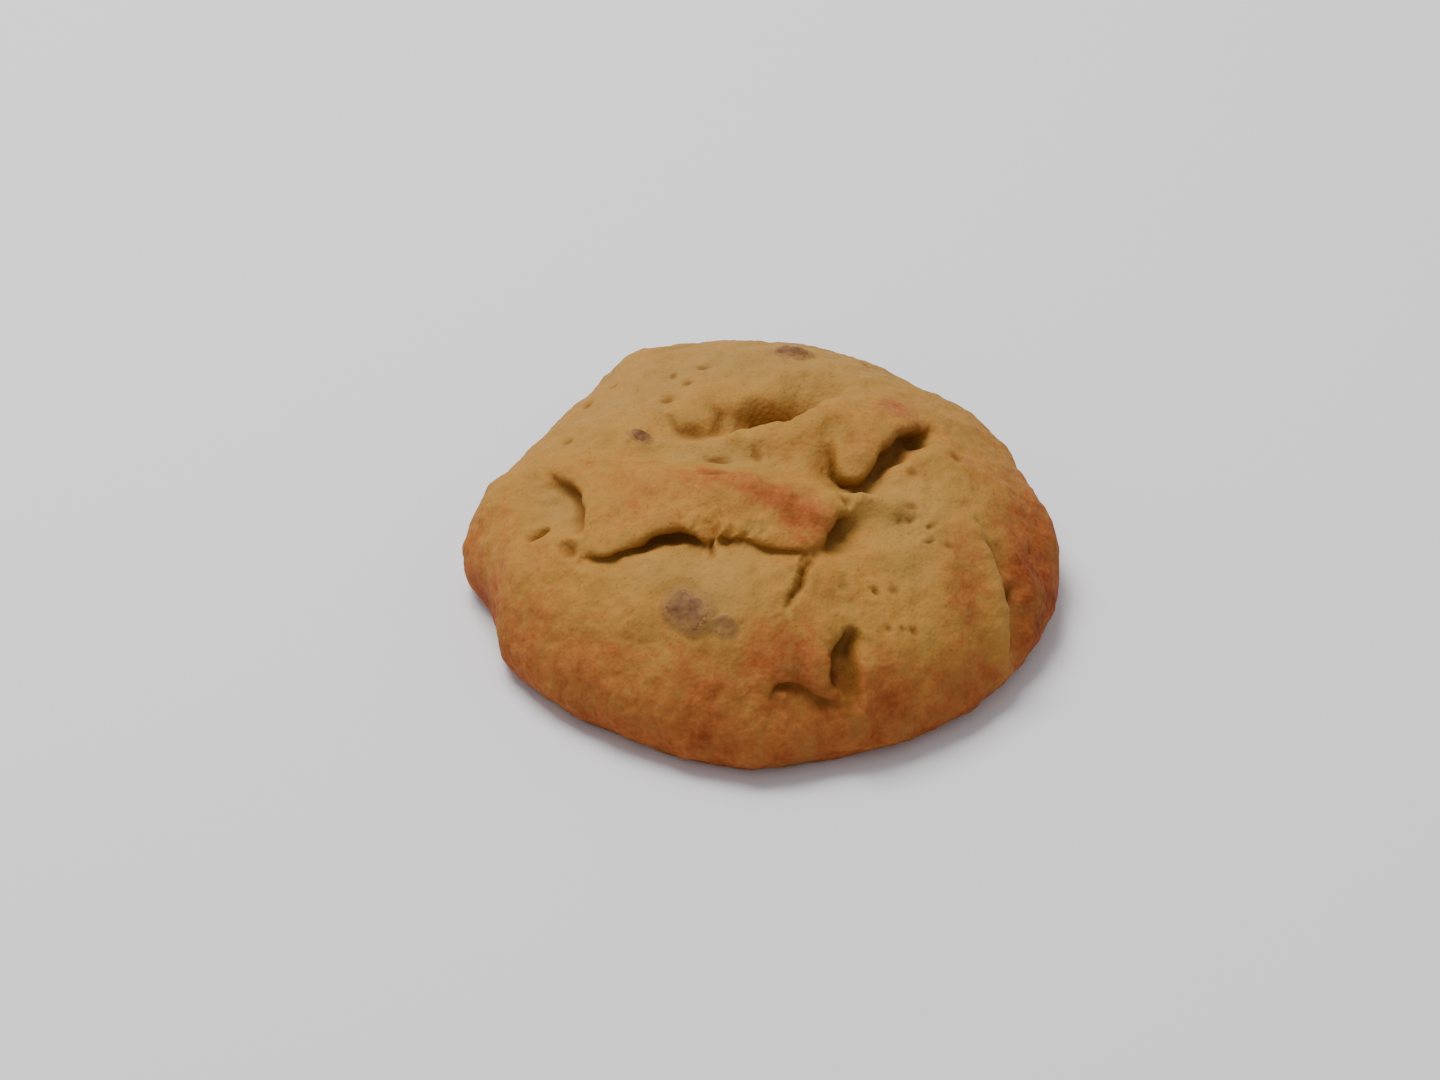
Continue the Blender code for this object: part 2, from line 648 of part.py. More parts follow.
def cut_foot(mesh):
    """Cut the crust flat at the table, close it there and centre it over the origin."""
    body = bmesh.new()
    body.from_mesh(mesh)
    everything = body.verts[:] + body.edges[:] + body.faces[:]
    cut = bmesh.ops.bisect_plane(
        body, geom=everything, plane_co=(0, 0, 0), plane_no=(0, 0, -1), clear_outer=True
    )
    rim = [item for item in cut["geom_cut"] if isinstance(item, bmesh.types.BMEdge)]
    for edge in rim:
        for vert in edge.verts:
            vert.co.z = 0.0
    closed = bmesh.ops.contextual_create(body, geom=rim)
    bmesh.ops.triangulate(body, faces=closed["faces"])
    bmesh.ops.recalc_face_normals(body, faces=body.faces[:])
    low = Vector([min(vert.co[axis] for vert in body.verts) for axis in range(2)] + [0.0])
    high = Vector([max(vert.co[axis] for vert in body.verts) for axis in range(2)] + [0.0])
    for vert in body.verts:
        vert.co -= (low + high) / 2
    body.to_mesh(mesh)
    body.free()


def baked_crust():
    """Material of the crust: golden brown, matt."""
    material = bpy.data.materials.new("crust")
    material.use_nodes = True
    shader = material.node_tree.nodes["Principled BSDF"]
    shader.inputs["Base Color"].default_value = (0.47, 0.26, 0.10, 1.0)
    shader.inputs["Roughness"].default_value = 0.62
    shader.inputs["Metallic"].default_value = 0.0
    return material


def build():
    """Build the one node, cookie."""
    for item in list(bpy.data.objects):
        bpy.data.objects.remove(item)
    mesh = thinned(crust_mesh(), TRIANGLES)
    cut_foot(mesh)
    mesh.name = "cookie"
    mesh.materials.append(baked_crust())
    for face in mesh.polygons:
        face.use_smooth = True
    cookie = bpy.data.objects.new("cookie", mesh)
    bpy.context.scene.collection.objects.link(cookie)


if __name__ == "__main__":
    build()
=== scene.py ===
"""Looks of a thick chocolate chip cookie: its folded golden crust, the chips that show, and the studio.

The crust is laid out as a flat map in millimetres, u to the right and v to the back, measured along the
crust from its crown. Lobes, folds, cracks, pores and chips are raised in that map, which is then wrapped
over a domed body. The finish reads from the mesh how toasted and stained each place is, with painted
shade and browning in its creases, and painted shade and light in a few patches of the toast.
"""

from __future__ import annotations

import logging
import math
from dataclasses import dataclass, field
from enum import Enum
from typing import NamedTuple

import bmesh
import bpy
import numpy as np
from mathutils import Matrix, Vector, noise

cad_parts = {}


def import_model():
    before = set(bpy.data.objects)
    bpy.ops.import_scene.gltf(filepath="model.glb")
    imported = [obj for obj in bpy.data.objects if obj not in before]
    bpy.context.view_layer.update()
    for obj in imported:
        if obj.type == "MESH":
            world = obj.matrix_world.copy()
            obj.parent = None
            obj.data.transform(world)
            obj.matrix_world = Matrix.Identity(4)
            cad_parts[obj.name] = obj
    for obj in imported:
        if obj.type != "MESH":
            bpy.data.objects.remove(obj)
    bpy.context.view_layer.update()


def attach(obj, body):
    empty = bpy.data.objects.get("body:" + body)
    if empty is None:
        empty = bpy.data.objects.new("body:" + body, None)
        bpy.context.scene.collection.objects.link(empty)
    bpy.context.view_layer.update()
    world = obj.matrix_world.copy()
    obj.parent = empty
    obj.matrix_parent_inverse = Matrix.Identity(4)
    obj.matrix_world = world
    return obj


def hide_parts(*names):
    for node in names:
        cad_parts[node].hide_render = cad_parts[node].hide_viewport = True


MM = 0.001
LOG = logging.getLogger("cookie")

# Section across a fold in millimetres, by distance to the left of its path
OVERHANG_AT = 0.9
OVERHANG_WIDE = 1.3
UNDERCUT_AT = -1.0
UNDERCUT_WIDE = 1.0
WALL_TOP = 1.4
WALL_FOOT = -1.2
LIP_AT = 2.2
LIP_WIDE = 2.0
# Where the painted shade of a fold's crease lies, and how wide it is
CREASE_SHADE_AT = -0.7
CREASE_SHADE_WIDE = 1.5

# Section across a crack and a pore, as shares of their own depth and width
SHOULDER_RISE = 0.35
SHOULDER_WIDE = 3.0
PORE_RIM_RISE = 0.25
PORE_RIM_WIDE = 2.0
# Share of painted shade in the groove of a crack and of a pore
DENT_CREASE_SHADE = 0.9

# Section across a chip, as shares of its rise and of its half width
CHIP_EDGE = (1.08, 0.72)
MOAT_AT = 1.12
MOAT_WIDE = 0.16
MOAT_DEPTH = 0.6
STAIN_EDGE = (1.45, 0.9)

# How a path is followed, in millimetres apart from the parts of each stretch and the reach in widths
PATH_PARTS = 8
FAR_AWAY = 1000.0
FOLD_REACH = 14.0
REACH_IN_WIDTHS = 6.0
CRACK_REACH = 2.0

# Points of the body's section, and the gap in millimetres over which its slope is taken
SECTION_POINTS = 500
NORMAL_GAP = 0.4

# Relief fades out over these distances before the end of the foot
FOOT_FADE = (1.0, 8.0)

# Places in the noise, so that its layers differ
KNOB_PLACE = Vector((7.0, 3.0, 5.0))
GRAIN_PLACE = Vector((2.0, 9.0, 4.0))
COARSE_CRUMB_PLACE = Vector((4.3, 7.31, 2.58))
FINE_CRUMB_PLACE = Vector((9.1, 15.47, 5.46))
CRUMB_PATCH_PLACE = Vector((2.2, 3.74, 1.32))
WANDER_PLACE = Vector((31.0, 17.0, 5.0))

Array = np.ndarray
Colour = tuple[float, float, float]
Path = tuple[tuple[float, float, float], ...]
Socket = bpy.types.NodeSocket


class Mask(Enum):
    """Values painted on the mesh for its finish."""

    # How toasted each place is, with painted shade and painted light from a few patches
    TOAST_AND_SHADING = "toast_and_shading"
    # Painted shade in the creases, cracks and pores, together with their browning
    CREASE_SHADE = "crease_shade"
    STAIN = "stain"
    PALE = "pale"
    FILM = "film"


class Places(NamedTuple):
    """Places on the map in millimetres from the crown, u to the right and v to the back."""

    u: Array
    v: Array


def smooth_step(low: float, high: float, value: Array) -> Array:
    """Rise smoothly from 0 at low to 1 at high.

    Args:
        low: Value at which the result is 0.
        high: Value at which the result is 1.
        value: Values to judge.

    Returns:
        Shares between 0 and 1.
    """
    share = np.clip((value - low) / (high - low), 0.0, 1.0)
    return share * share * (3.0 - 2.0 * share)


def bump(value: Array, middle: float, width: float) -> Array:
    """Rise to 1 at the middle and fall off over the width.

    Args:
        value: Values to judge.
        middle: Value at which the result is 1.
        width: Distance from the middle at which it has fallen to about a third.

    Returns:
        Shares between 0 and 1.
    """
    return np.exp(-(((value - middle) / width) ** 2))


def srgb(red: int, green: int, blue: int) -> Colour:
    """Turn a colour as a screen shows it into the linear values that a shader takes.

    Args:
        red: Red from 0 to 255.
        green: Green from 0 to 255.
        blue: Blue from 0 to 255.

    Returns:
        Linear red, green and blue from 0 to 1.
    """

    def linear(value: int) -> float:
        """Linear value of one channel."""
        share = value / 255.0
        return share / 12.92 if share <= 0.04045 else ((share + 0.055) / 1.055) ** 2.4

    return linear(red), linear(green), linear(blue)


def noise_at(points: Array, size: float, place: Vector) -> Array:
    """Smooth noise from -1 to 1 at points.

    Args:
        points: Points in millimetres, one a row.
        size: Width of one bump in millimetres.
        place: Place in the noise, which makes this layer unlike the others.

    Returns:
        One value a point.
    """
    return np.array([noise.noise(Vector(point) / size + place) for point in points])


def curve_between(points: Array | tuple[Array, ...], part: Array) -> Array:
    """Follow a smooth curve between the middle two of four points.

    Args:
        points: The four points, or four arrays of them.
        part: Share of the way from the second to the third.

    Returns:
        Points of the curve.
    """
    before, first, second, after = points
    slope = second - before
    bend = 2.0 * before - 5.0 * first + 4.0 * second - after
    twist = 3.0 * (first - second) + after - before
    return first + 0.5 * part * (slope + part * (bend + part * twist))


def smooth_path(path: Path) -> Array:
    """Points of a smooth curve through a path's own points.

    Args:
        path: Points (u, v, strength).

    Returns:
        Points (u, v, strength), one a row.
    """
    points = np.array(path, dtype=float)
    padded = np.vstack((2 * points[0] - points[1], points, 2 * points[-1] - points[-2]))
    part = np.arange(PATH_PARTS)[:, None] / PATH_PARTS
    spans = [curve_between(padded[index:index + 4], part) for index in range(len(points) - 1)]
    return np.vstack((*spans, points[-1:]))


@dataclass(frozen=True)
class Oval:
    """An oval place on the map, turned by an angle in degrees."""

    u: float
    v: float
    long: float
    wide: float
    turn: float

    def own_axes(self, at: Places) -> tuple[Array, Array]:
        """Distances from the middle, along and across the oval's own length.

        Args:
            at: Places on the map.

        Returns:
            Distances along and across, in millimetres.
        """
        turn = math.radians(self.turn)
        along = (at.u - self.u) * math.cos(turn) + (at.v - self.v) * math.sin(turn)
        across = (at.v - self.v) * math.cos(turn) - (at.u - self.u) * math.sin(turn)
        return along, across

    def hump(self, at: Places, peak: float) -> Array:
        """Raise a soft hump over the oval.

        Args:
            at: Places on the map.
            peak: Value at the oval's middle.

        Returns:
            Value at each place.
        """
        along, across = self.own_axes(at)
        return peak * bump(along, 0.0, self.long) * bump(across, 0.0, self.wide)


@dataclass(frozen=True)
class Lobe(Oval):
    """A rounded rise of the dough, or a hollow where the rise is negative."""

    rise: float

    def relief(self, at: Places) -> Array:
        """Height in millimetres that the lobe gives the crust."""
        return self.hump(at, self.rise)


@dataclass(frozen=True)
class Patch(Oval):
    """A soft-edged patch of the crust, such as one that is toasted or left pale."""

    strength: float

    def share(self, at: Places) -> Array:
        """How much of the patch's strength each place has."""
        return self.hump(at, self.strength)


@dataclass
class Beside:
    """How places of the map lie beside a path."""

    away: Array
    left_u: Array
    left_v: Array
    strength: Array

    @classmethod
    def path(cls, at: Places, path: Path, reach: float = FOLD_REACH) -> Beside:
        """Measure places against a path.

        Args:
            at: Places on the map.
            path: Points (u, v, strength).
            reach: Distance beyond which a place counts as far away.

        Returns:
            Signed distance, with left positive, the direction to the left, and the path's strength there.
        """
        curve = smooth_path(path)
        count = len(at.u)
        found = cls(np.full(count, FAR_AWAY), np.zeros(count), np.zeros(count), np.zeros(count))
        low = curve[:, :2].min(axis=0) - reach
        high = curve[:, :2].max(axis=0) + reach
        inside = (at.u > low[0]) & (at.u < high[0]) & (at.v > low[1]) & (at.v < high[1])
        near = np.nonzero(inside)[0]
        if not len(near):
            return found
        u, v = at.u[near], at.v[near]
        best = np.full(len(near), FAR_AWAY)
        side = np.ones(len(near))
        left_u, left_v, strength = (np.zeros(len(near)) for _ in range(3))
        for start, end in zip(curve[:-1], curve[1:]):
            run = end[:2] - start[:2]
            length = float(np.hypot(*run))
            share = ((u - start[0]) * run[0] + (v - start[1]) * run[1]) / length**2
            share = np.clip(share, 0.0, 1.0)
            off_u = u - start[0] - share * run[0]
            off_v = v - start[1] - share * run[1]
            away = np.hypot(off_u, off_v)
            closer = away < best
            best = np.where(closer, away, best)
            side = np.where(closer, np.where(run[0] * off_v - run[1] * off_u >= 0.0, 1.0, -1.0), side)
            strength = np.where(closer, start[2] + share * (end[2] - start[2]), strength)
            left_u = np.where(closer, -run[1] / length, left_u)
            left_v = np.where(closer, run[0] / length, left_v)
        found.away[near] = best * side
        found.left_u[near] = left_u
        found.left_v[near] = left_v
        found.strength[near] = np.maximum(strength, 0.0)
        return found


@dataclass(frozen=True)
class Fold:
    """A lip of dough over the crust beside it. The lip is on the left of the path (u, v, strength)."""

    path: Path
    drop: float
    lip: float
    overhang: float
    undercut: float
    valley: float

    def relief(self, at: Places) -> tuple[Array, Array, Array, Array]:
        """Shift over the map and height that the fold gives the crust, and the painted shade of its crease.

        Args:
            at: Places on the map.

        Returns:
            Shift to the right, shift to the back, height, and painted shade of the crease at each place.
        """
        beside = Beside.path(at, self.path)
        away, strength = beside.away, beside.strength
        lean = self.undercut * bump(away, UNDERCUT_AT, UNDERCUT_WIDE)
        lean = lean - self.overhang * bump(away, OVERHANG_AT, OVERHANG_WIDE)
        beyond = np.maximum(WALL_FOOT - away, 0.0)
        fall = smooth_step(WALL_TOP, WALL_FOOT, away) * bump(beyond, 0.0, self.valley)
        rise = self.lip * bump(away, LIP_AT, LIP_WIDE) - self.drop * fall
        # Painted shade just beside the lip, deepest in its crease
        crease_shade = bump(away, CREASE_SHADE_AT, CREASE_SHADE_WIDE) * np.minimum(strength, 1.0)
        return lean * beside.left_u * strength, lean * beside.left_v * strength, rise * strength, crease_shade


@dataclass(frozen=True)
class Crack:
    """A narrow groove with soft shoulders along a path (u, v, strength)."""

    path: Path
    depth: float
    width: float

    def relief(self, at: Places) -> tuple[Array, Array]:
        """Height that the crack gives the crust, and the painted shade in its groove.

        Args:
            at: Places on the map.

        Returns:
            Height in millimetres, and how deep in the crack each place is, which sets its painted shade.
        """
        beside = Beside.path(at, self.path, reach=REACH_IN_WIDTHS * self.width + CRACK_REACH)
        groove = bump(beside.away, 0.0, self.width)
        shoulder = SHOULDER_RISE * bump(beside.away, 0.0, SHOULDER_WIDE * self.width)
        rise = self.depth * beside.strength * (shoulder - (1.0 + SHOULDER_RISE) * groove)
        return rise, groove * np.minimum(beside.strength, 1.0)


@dataclass(frozen=True)
class Pore:
    """A small round pore in the crust."""

    u: float
    v: float
    radius: float
    depth: float

    def relief(self, at: Places) -> tuple[Array, Array]:
        """Height that the pore gives the crust, and the painted shade in it.

        Args:
            at: Places on the map.

        Returns:
            Height in millimetres, and how deep in the pore each place is, which sets its painted shade.
        """
        away = np.hypot(at.u - self.u, at.v - self.v) / self.radius
        hole = bump(away, 0.0, 1.0)
        rim = PORE_RIM_RISE * bump(away, 0.0, PORE_RIM_WIDE)
        return self.depth * (rim - (1.0 + PORE_RIM_RISE) * hole), hole


@dataclass(frozen=True)
class Thread:
    """A thin strand of dough standing up from the crust along a path (u, v, strength)."""

    path: Path
    rise: float
    width: float

    def relief(self, at: Places) -> Array:
        """Height in millimetres that the strand gives the crust."""
        beside = Beside.path(at, self.path, reach=REACH_IN_WIDTHS * self.width)
        return self.rise * beside.strength * bump(beside.away, 0.0, self.width)


@dataclass(frozen=True)
class ChipPlace(Oval):
    """Where a chocolate chip shows, nearly flush with the crust."""

    rise: float

    def nearness(self, at: Places) -> Array:
        """Distance from the chip's middle, as a share that is 1 at its edge."""
        along, across = self.own_axes(at)
        return np.hypot(along / self.long, across / self.wide)

    def relief(self, at: Places) -> Array:
        """Height in millimetres of the dough that the chip pushes up and of the moat around it."""
        away = self.nearness(at)
        return self.rise * (smooth_step(*CHIP_EDGE, away) - MOAT_DEPTH * bump(away, MOAT_AT, MOAT_WIDE))


# Broad lobes and hollows of the crust
LOBES: tuple[Lobe, ...] = (
    Lobe(u=-8.0, v=-15.5, long=24.0, wide=9.0, turn=-6.0, rise=2.8),
    Lobe(u=7.0, v=-17.5, long=12.0, wide=5.0, turn=-14.0, rise=1.8),
    Lobe(u=-5.0, v=-5.0, long=17.0, wide=4.5, turn=-12.0, rise=-2.8),
    Lobe(u=18.0, v=3.0, long=14.0, wide=8.0, turn=42.0, rise=3.8),
    Lobe(u=4.0, v=-1.0, long=9.0, wide=3.0, turn=6.0, rise=1.0),
    Lobe(u=7.4, v=8.0, long=9.5, wide=4.6, turn=24.0, rise=-5.4),
    Lobe(u=8.0, v=27.0, long=28.0, wide=8.0, turn=0.0, rise=1.2),
    Lobe(u=-7.0, v=8.0, long=5.2, wide=5.4, turn=0.0, rise=1.9),
    Lobe(u=-13.0, v=7.0, long=4.0, wide=7.0, turn=0.0, rise=-0.8),
    Lobe(u=-24.0, v=10.0, long=14.0, wide=12.0, turn=30.0, rise=1.0),
    Lobe(u=-20.0, v=39.5, long=5.0, wide=5.0, turn=0.0, rise=1.2),
    Lobe(u=-31.0, v=33.0, long=7.0, wide=6.0, turn=-45.0, rise=-1.2),
    Lobe(u=57.0, v=3.0, long=7.0, wide=5.0, turn=90.0, rise=1.2),
    Lobe(u=35.0, v=-10.0, long=22.0, wide=10.0, turn=-62.0, rise=2.2),
    Lobe(u=54.0, v=-12.0, long=20.0, wide=6.0, turn=-80.0, rise=-0.6),
    Lobe(u=-6.0, v=-36.0, long=23.0, wide=8.0, turn=-4.0, rise=2.4),
    Lobe(u=-36.5, v=-11.0, long=6.5, wide=4.5, turn=-60.0, rise=-2.4),
    Lobe(u=-46.0, v=-14.0, long=14.0, wide=7.0, turn=80.0, rise=1.2),
    Lobe(u=29.0, v=-44.0, long=12.0, wide=7.0, turn=60.0, rise=1.4),
    Lobe(u=22.0, v=-48.0, long=9.0, wide=2.2, turn=88.0, rise=1.1),
    Lobe(u=20.0, v=-21.5, long=5.5, wide=3.5, turn=50.0, rise=-2.2),
    Lobe(u=23.0, v=-14.8, long=5.8, wide=2.6, turn=4.0, rise=2.0),
    Lobe(u=18.8, v=-20.6, long=3.0, wide=1.6, turn=50.0, rise=-1.0),
    Lobe(u=19.0, v=-49.0, long=2.8, wide=2.2, turn=80.0, rise=-0.3),
    Lobe(u=19.0, v=-5.4, long=2.2, wide=2.0, turn=0.0, rise=1.0),
    Lobe(u=10.0, v=-55.0, long=8.0, wide=3.0, turn=-8.0, rise=-0.7),
    Lobe(u=17.5, v=-47.0, long=5.0, wide=1.8, turn=80.0, rise=-0.6),
    Lobe(u=7.2, v=-52.4, long=1.8, wide=1.0, turn=0.0, rise=0.9),
    Lobe(u=-7.0, v=-29.0, long=5.0, wide=3.0, turn=0.0, rise=-0.8),
)

# Lips of dough lying over their neighbours
FOLDS: tuple[Fold, ...] = (
    Fold(
        path=(
            (-29.4, -24.5, 0.0), (-27.2, -25.3, 0.5), (-24.2, -25.8, 0.65), (-20.8, -25.8, 0.7),
            (-18.2, -25.0, 0.8), (-15.6, -24.3, 1.0), (-12.8, -23.6, 1.1), (-10.0, -23.3, 1.0),
            (-7.6, -24.2, 0.8), (-6.0, -26.0, 0.5), (-4.2, -26.0, 0.3), (-2.6, -25.0, 0.5),
            (1.5, -24.8, 0.5), (5.0, -26.0, 0.5), (9.0, -27.0, 0.45), (12.2, -26.8, 0.45),
            (14.2, -25.4, 0.5), (14.9, -24.0, 0.7), (14.9, -22.4, 0.85), (15.8, -20.4, 0.9),
            (17.4, -18.2, 0.8), (20.2, -16.8, 0.0),
        ),
        drop=3.0, lip=1.0, overhang=1.9, undercut=1.4, valley=1.8,
    ),
    Fold(
        path=(
            (16.5, -3.4, 0.0), (16.5, -5.8, 0.45), (17.1, -7.8, 0.7), (18.3, -9.0, 0.85),
            (19.7, -9.2, 0.9), (20.9, -8.3, 0.9), (21.6, -6.0, 1.0), (23.0, -2.6, 1.05),
            (25.5, 0.4, 1.1), (28.2, 3.4, 1.1), (30.6, 6.4, 1.0), (33.0, 9.2, 0.6),
            (34.6, 11.0, 0.0),
        ),
        drop=3.0, lip=0.5, overhang=1.4, undercut=1.0, valley=2.4,
    ),
    Fold(
        path=(
            (21.9, 18.0, 0.0), (19.0, 14.0, 0.4), (16.2, 9.3, 0.7), (13.6, 4.6, 0.9),
            (11.2, 0.9, 1.0), (8.5, -0.2, 1.1), (5.5, 0.1, 1.1), (3.0, 0.4, 1.0),
            (1.0, 1.0, 0.7), (-0.5, 2.0, 0.3), (-1.8, 3.0, 0.0),
        ),
        drop=4.2, lip=1.3, overhang=1.9, undercut=1.2, valley=5.0,
    ),
    Fold(
        path=(
            (-36.5, 0.6, 0.0), (-35.2, -2.0, 0.4), (-33.5, -4.6, 0.65), (-31.6, -7.6, 0.8),
            (-29.4, -11.6, 1.0), (-28.2, -15.4, 1.1), (-28.2, -18.6, 0.8), (-29.3, -21.4, 0.0),
        ),
        drop=2.2, lip=0.4, overhang=0.9, undercut=0.4, valley=3.8,
    ),
    Fold(
        path=(
            (-15.2, 12.5, 0.0), (-14.3, 9.6, 0.4), (-12.4, 7.0, 0.65), (-10.2, 4.6, 0.75),
            (-8.0, 3.0, 0.8), (-5.8, 2.6, 0.7), (-4.0, 3.8, 0.6), (-3.0, 6.6, 0.4),
            (-2.8, 9.4, 0.2), (-2.6, 12.0, 0.0),
        ),
        drop=1.3, lip=0.4, overhang=0.3, undercut=0.2, valley=1.8,
    ),
    Fold(
        path=(
            (3.3, -52.9, 0.0), (4.4, -51.8, 0.6), (5.9, -50.1, 0.9), (8.0, -49.6, 1.0),
            (10.2, -50.4, 0.9), (12.4, -51.2, 0.9), (14.6, -51.6, 0.9), (16.6, -51.7, 0.8),
            (18.2, -50.8, 0.0),
        ),
        drop=1.2, lip=0.6, overhang=1.0, undercut=0.5, valley=2.0,
    ),
    Fold(
        path=(
            (18.0, -52.0, 0.0), (17.4, -50.4, 0.6), (16.2, -49.0, 1.0), (15.2, -47.1, 1.1),
            (15.6, -45.2, 1.1), (16.8, -43.2, 1.1), (17.9, -41.4, 1.0), (18.9, -39.6, 0.0),
        ),
        drop=1.5, lip=0.7, overhang=1.0, undercut=0.5, valley=4.0,
    ),
    Fold(
        path=(
            (21.4, -38.8, 0.0), (21.0, -41.0, 0.8), (20.7, -43.5, 1.0), (20.7, -46.0, 1.0),
            (20.8, -48.5, 0.9), (21.0, -51.0, 0.7), (21.4, -53.5, 0.0),
        ),
        drop=0.9, lip=0.3, overhang=0.3, undercut=0.0, valley=2.0,
    ),
    Fold(
        path=(
            (50.2, -34.7, 0.0), (49.2, -31.5, 0.5), (47.4, -28.5, 0.8), (45.4, -24.7, 1.2),
            (44.0, -21.7, 0.9), (42.6, -19.0, 0.7), (40.8, -16.0, 0.5), (38.4, -11.0, 0.0),
        ),
        drop=3.0, lip=1.8, overhang=1.0, undercut=0.7, valley=4.5,
    ),
)

# Narrow cracks, whose grooves also take painted shade
CRACKS: tuple[Crack, ...] = (
    Crack(
        path=(
            (13.6, -27.8, 0.4), (11.8, -29.6, 0.9), (10.7, -32.2, 1.0), (10.3, -34.7, 0.9),
            (9.0, -36.8, 0.8), (7.5, -39.5, 0.0),
        ),
        depth=1.4, width=0.8,
    ),
    Crack(
        path=((-41.5, -17.5, 0.0), (-40.2, -17.2, 1.0), (-37.8, -16.2, 1.0), (-36.5, -15.6, 0.0)),
        depth=1.2, width=0.9,
    ),
    Crack(
        path=((-33.6, -20.4, 0.2), (-32.2, -22.2, 0.9), (-30.8, -23.8, 0.9), (-30.2, -25.6, 0.0)),
        depth=1.3, width=1.6,
    ),
    Crack(
        path=((-8.0, -12.3, 0.0), (-5.0, -12.9, 0.8), (-2.0, -12.6, 0.8), (1.0, -12.0, 0.0)),
        depth=0.6, width=0.8,
    ),
    Crack(
        path=((-6.6, -4.6, 0.0), (-4.4, -4.8, 0.9), (-2.0, -5.0, 1.0), (0.6, -5.0, 0.0)),
        depth=0.5, width=0.8,
    ),
    Crack(
        path=((2.2, -2.4, 0.0), (3.3, -3.8, 0.8), (4.6, -5.4, 0.8), (5.6, -6.6, 0.0)),
        depth=0.5, width=0.8,
    ),
    Crack(
        path=((-7.2, 23.7, 0.0), (-5.6, 23.5, 1.0), (-3.8, 23.0, 0.0)),
        depth=0.5, width=0.8,
    ),
    Crack(
        path=((30.6, -18.0, 0.0), (31.6, -17.7, 1.0), (32.6, -17.3, 0.6), (33.4, -16.9, 0.0)),
        depth=0.35, width=0.4,
    ),
    Crack(
        path=((30.8, -20.4, 0.0), (32.0, -20.1, 1.0), (33.0, -19.7, 0.6), (33.8, -19.4, 0.0)),
        depth=0.45, width=0.4,
    ),
    Crack(
        path=(
            (-3.9, -21.5, 0.0), (-4.0, -23.5, 0.6), (-4.2, -25.5, 0.9), (-4.4, -27.5, 0.8),
            (-4.8, -30.0, 0.0),
        ),
        depth=0.9, width=0.7,
    ),
    Crack(
        path=((17.0, -29.0, 0.0), (18.2, -32.0, 0.7), (18.4, -35.0, 0.0)),
        depth=0.6, width=0.8,
    ),
    Crack(
        path=(
            (15.8, -3.6, 0.0), (15.7, -5.8, 0.8), (16.3, -7.8, 1.0), (17.6, -9.2, 0.7),
            (19.2, -9.8, 0.0),
        ),
        depth=1.4, width=0.9,
    ),
    # A soft trough beside the nose's fold, laid mainly to spread painted shade
    Crack(
        path=(
            (22.8, -8.0, 0.0), (23.9, -5.6, 0.7), (25.6, -2.8, 1.0), (27.4, -0.4, 1.0),
            (29.4, 2.2, 0.8), (31.0, 4.6, 0.8), (32.4, 6.6, 0.0),
        ),
        depth=0.6, width=1.4,
    ),
    # A deep groove behind the lip, darkened by real shade and by painted shade
    Crack(
        path=(
            (0.6, 8.0, 0.0), (3.0, 8.8, 0.8), (5.8, 9.4, 1.0), (8.8, 10.2, 1.0), (11.4, 11.6, 0.9),
            (14.4, 14.4, 0.0),
        ),
        depth=2.0, width=1.9,
    ),
    # A soft trough inside the left arc, laid mainly to spread painted shade
    Crack(
        path=(
            (-36.6, -3.2, 0.0), (-34.9, -5.2, 0.7), (-33.4, -8.2, 1.0), (-31.4, -11.8, 1.0),
            (-30.0, -15.6, 1.0), (-29.9, -18.6, 0.8), (-30.8, -21.4, 0.0),
        ),
        depth=0.5, width=1.5,
    ),
    Crack(
        path=(
            (19.4, -41.0, 0.0), (19.4, -43.5, 0.5), (19.1, -46.5, 0.8), (19.1, -49.5, 1.0),
            (19.2, -52.0, 1.0), (19.2, -54.0, 0.7), (19.0, -56.5, 0.0),
        ),
        depth=0.3, width=1.5,
    ),
)

# Pores
PORES: tuple[Pore, ...] = (
    Pore(u=28.5, v=-14.5, radius=1.0, depth=1.1),
    Pore(u=28.4, v=-16.9, radius=0.7, depth=0.8),
    Pore(u=27.0, v=-17.2, radius=0.6, depth=0.8),
    Pore(u=28.5, v=-6.6, radius=1.0, depth=0.4),
    Pore(u=36.6, v=1.3, radius=1.4, depth=0.4),
    Pore(u=35.7, v=-20.1, radius=0.8, depth=0.4),
    Pore(u=24.0, v=-32.2, radius=0.9, depth=1.2),
    Pore(u=26.7, v=-31.3, radius=0.8, depth=0.4),
    Pore(u=26.4, v=-38.6, radius=0.8, depth=0.5),
    Pore(u=29.0, v=-38.1, radius=0.6, depth=0.5),
    Pore(u=30.8, v=-37.4, radius=0.8, depth=0.7),
    Pore(u=31.2, v=4.4, radius=1.4, depth=0.9),
    Pore(u=47.9, v=-22.4, radius=1.4, depth=2.2),
    Pore(u=45.0, v=-20.0, radius=0.8, depth=0.6),
    Pore(u=51.4, v=-10.0, radius=0.9, depth=0.6),
    Pore(u=17.8, v=-15.4, radius=1.0, depth=1.4),
    Pore(u=-8.7, v=17.5, radius=1.1, depth=0.6),
    Pore(u=-11.6, v=21.2, radius=0.9, depth=0.3),
    Pore(u=-13.6, v=14.0, radius=1.4, depth=0.7),
    Pore(u=-33.2, v=5.2, radius=1.1, depth=0.6),
    Pore(u=-31.9, v=24.2, radius=1.3, depth=0.7),
    Pore(u=-25.7, v=26.7, radius=1.2, depth=0.7),
    Pore(u=23.9, v=33.8, radius=1.1, depth=0.6),
)

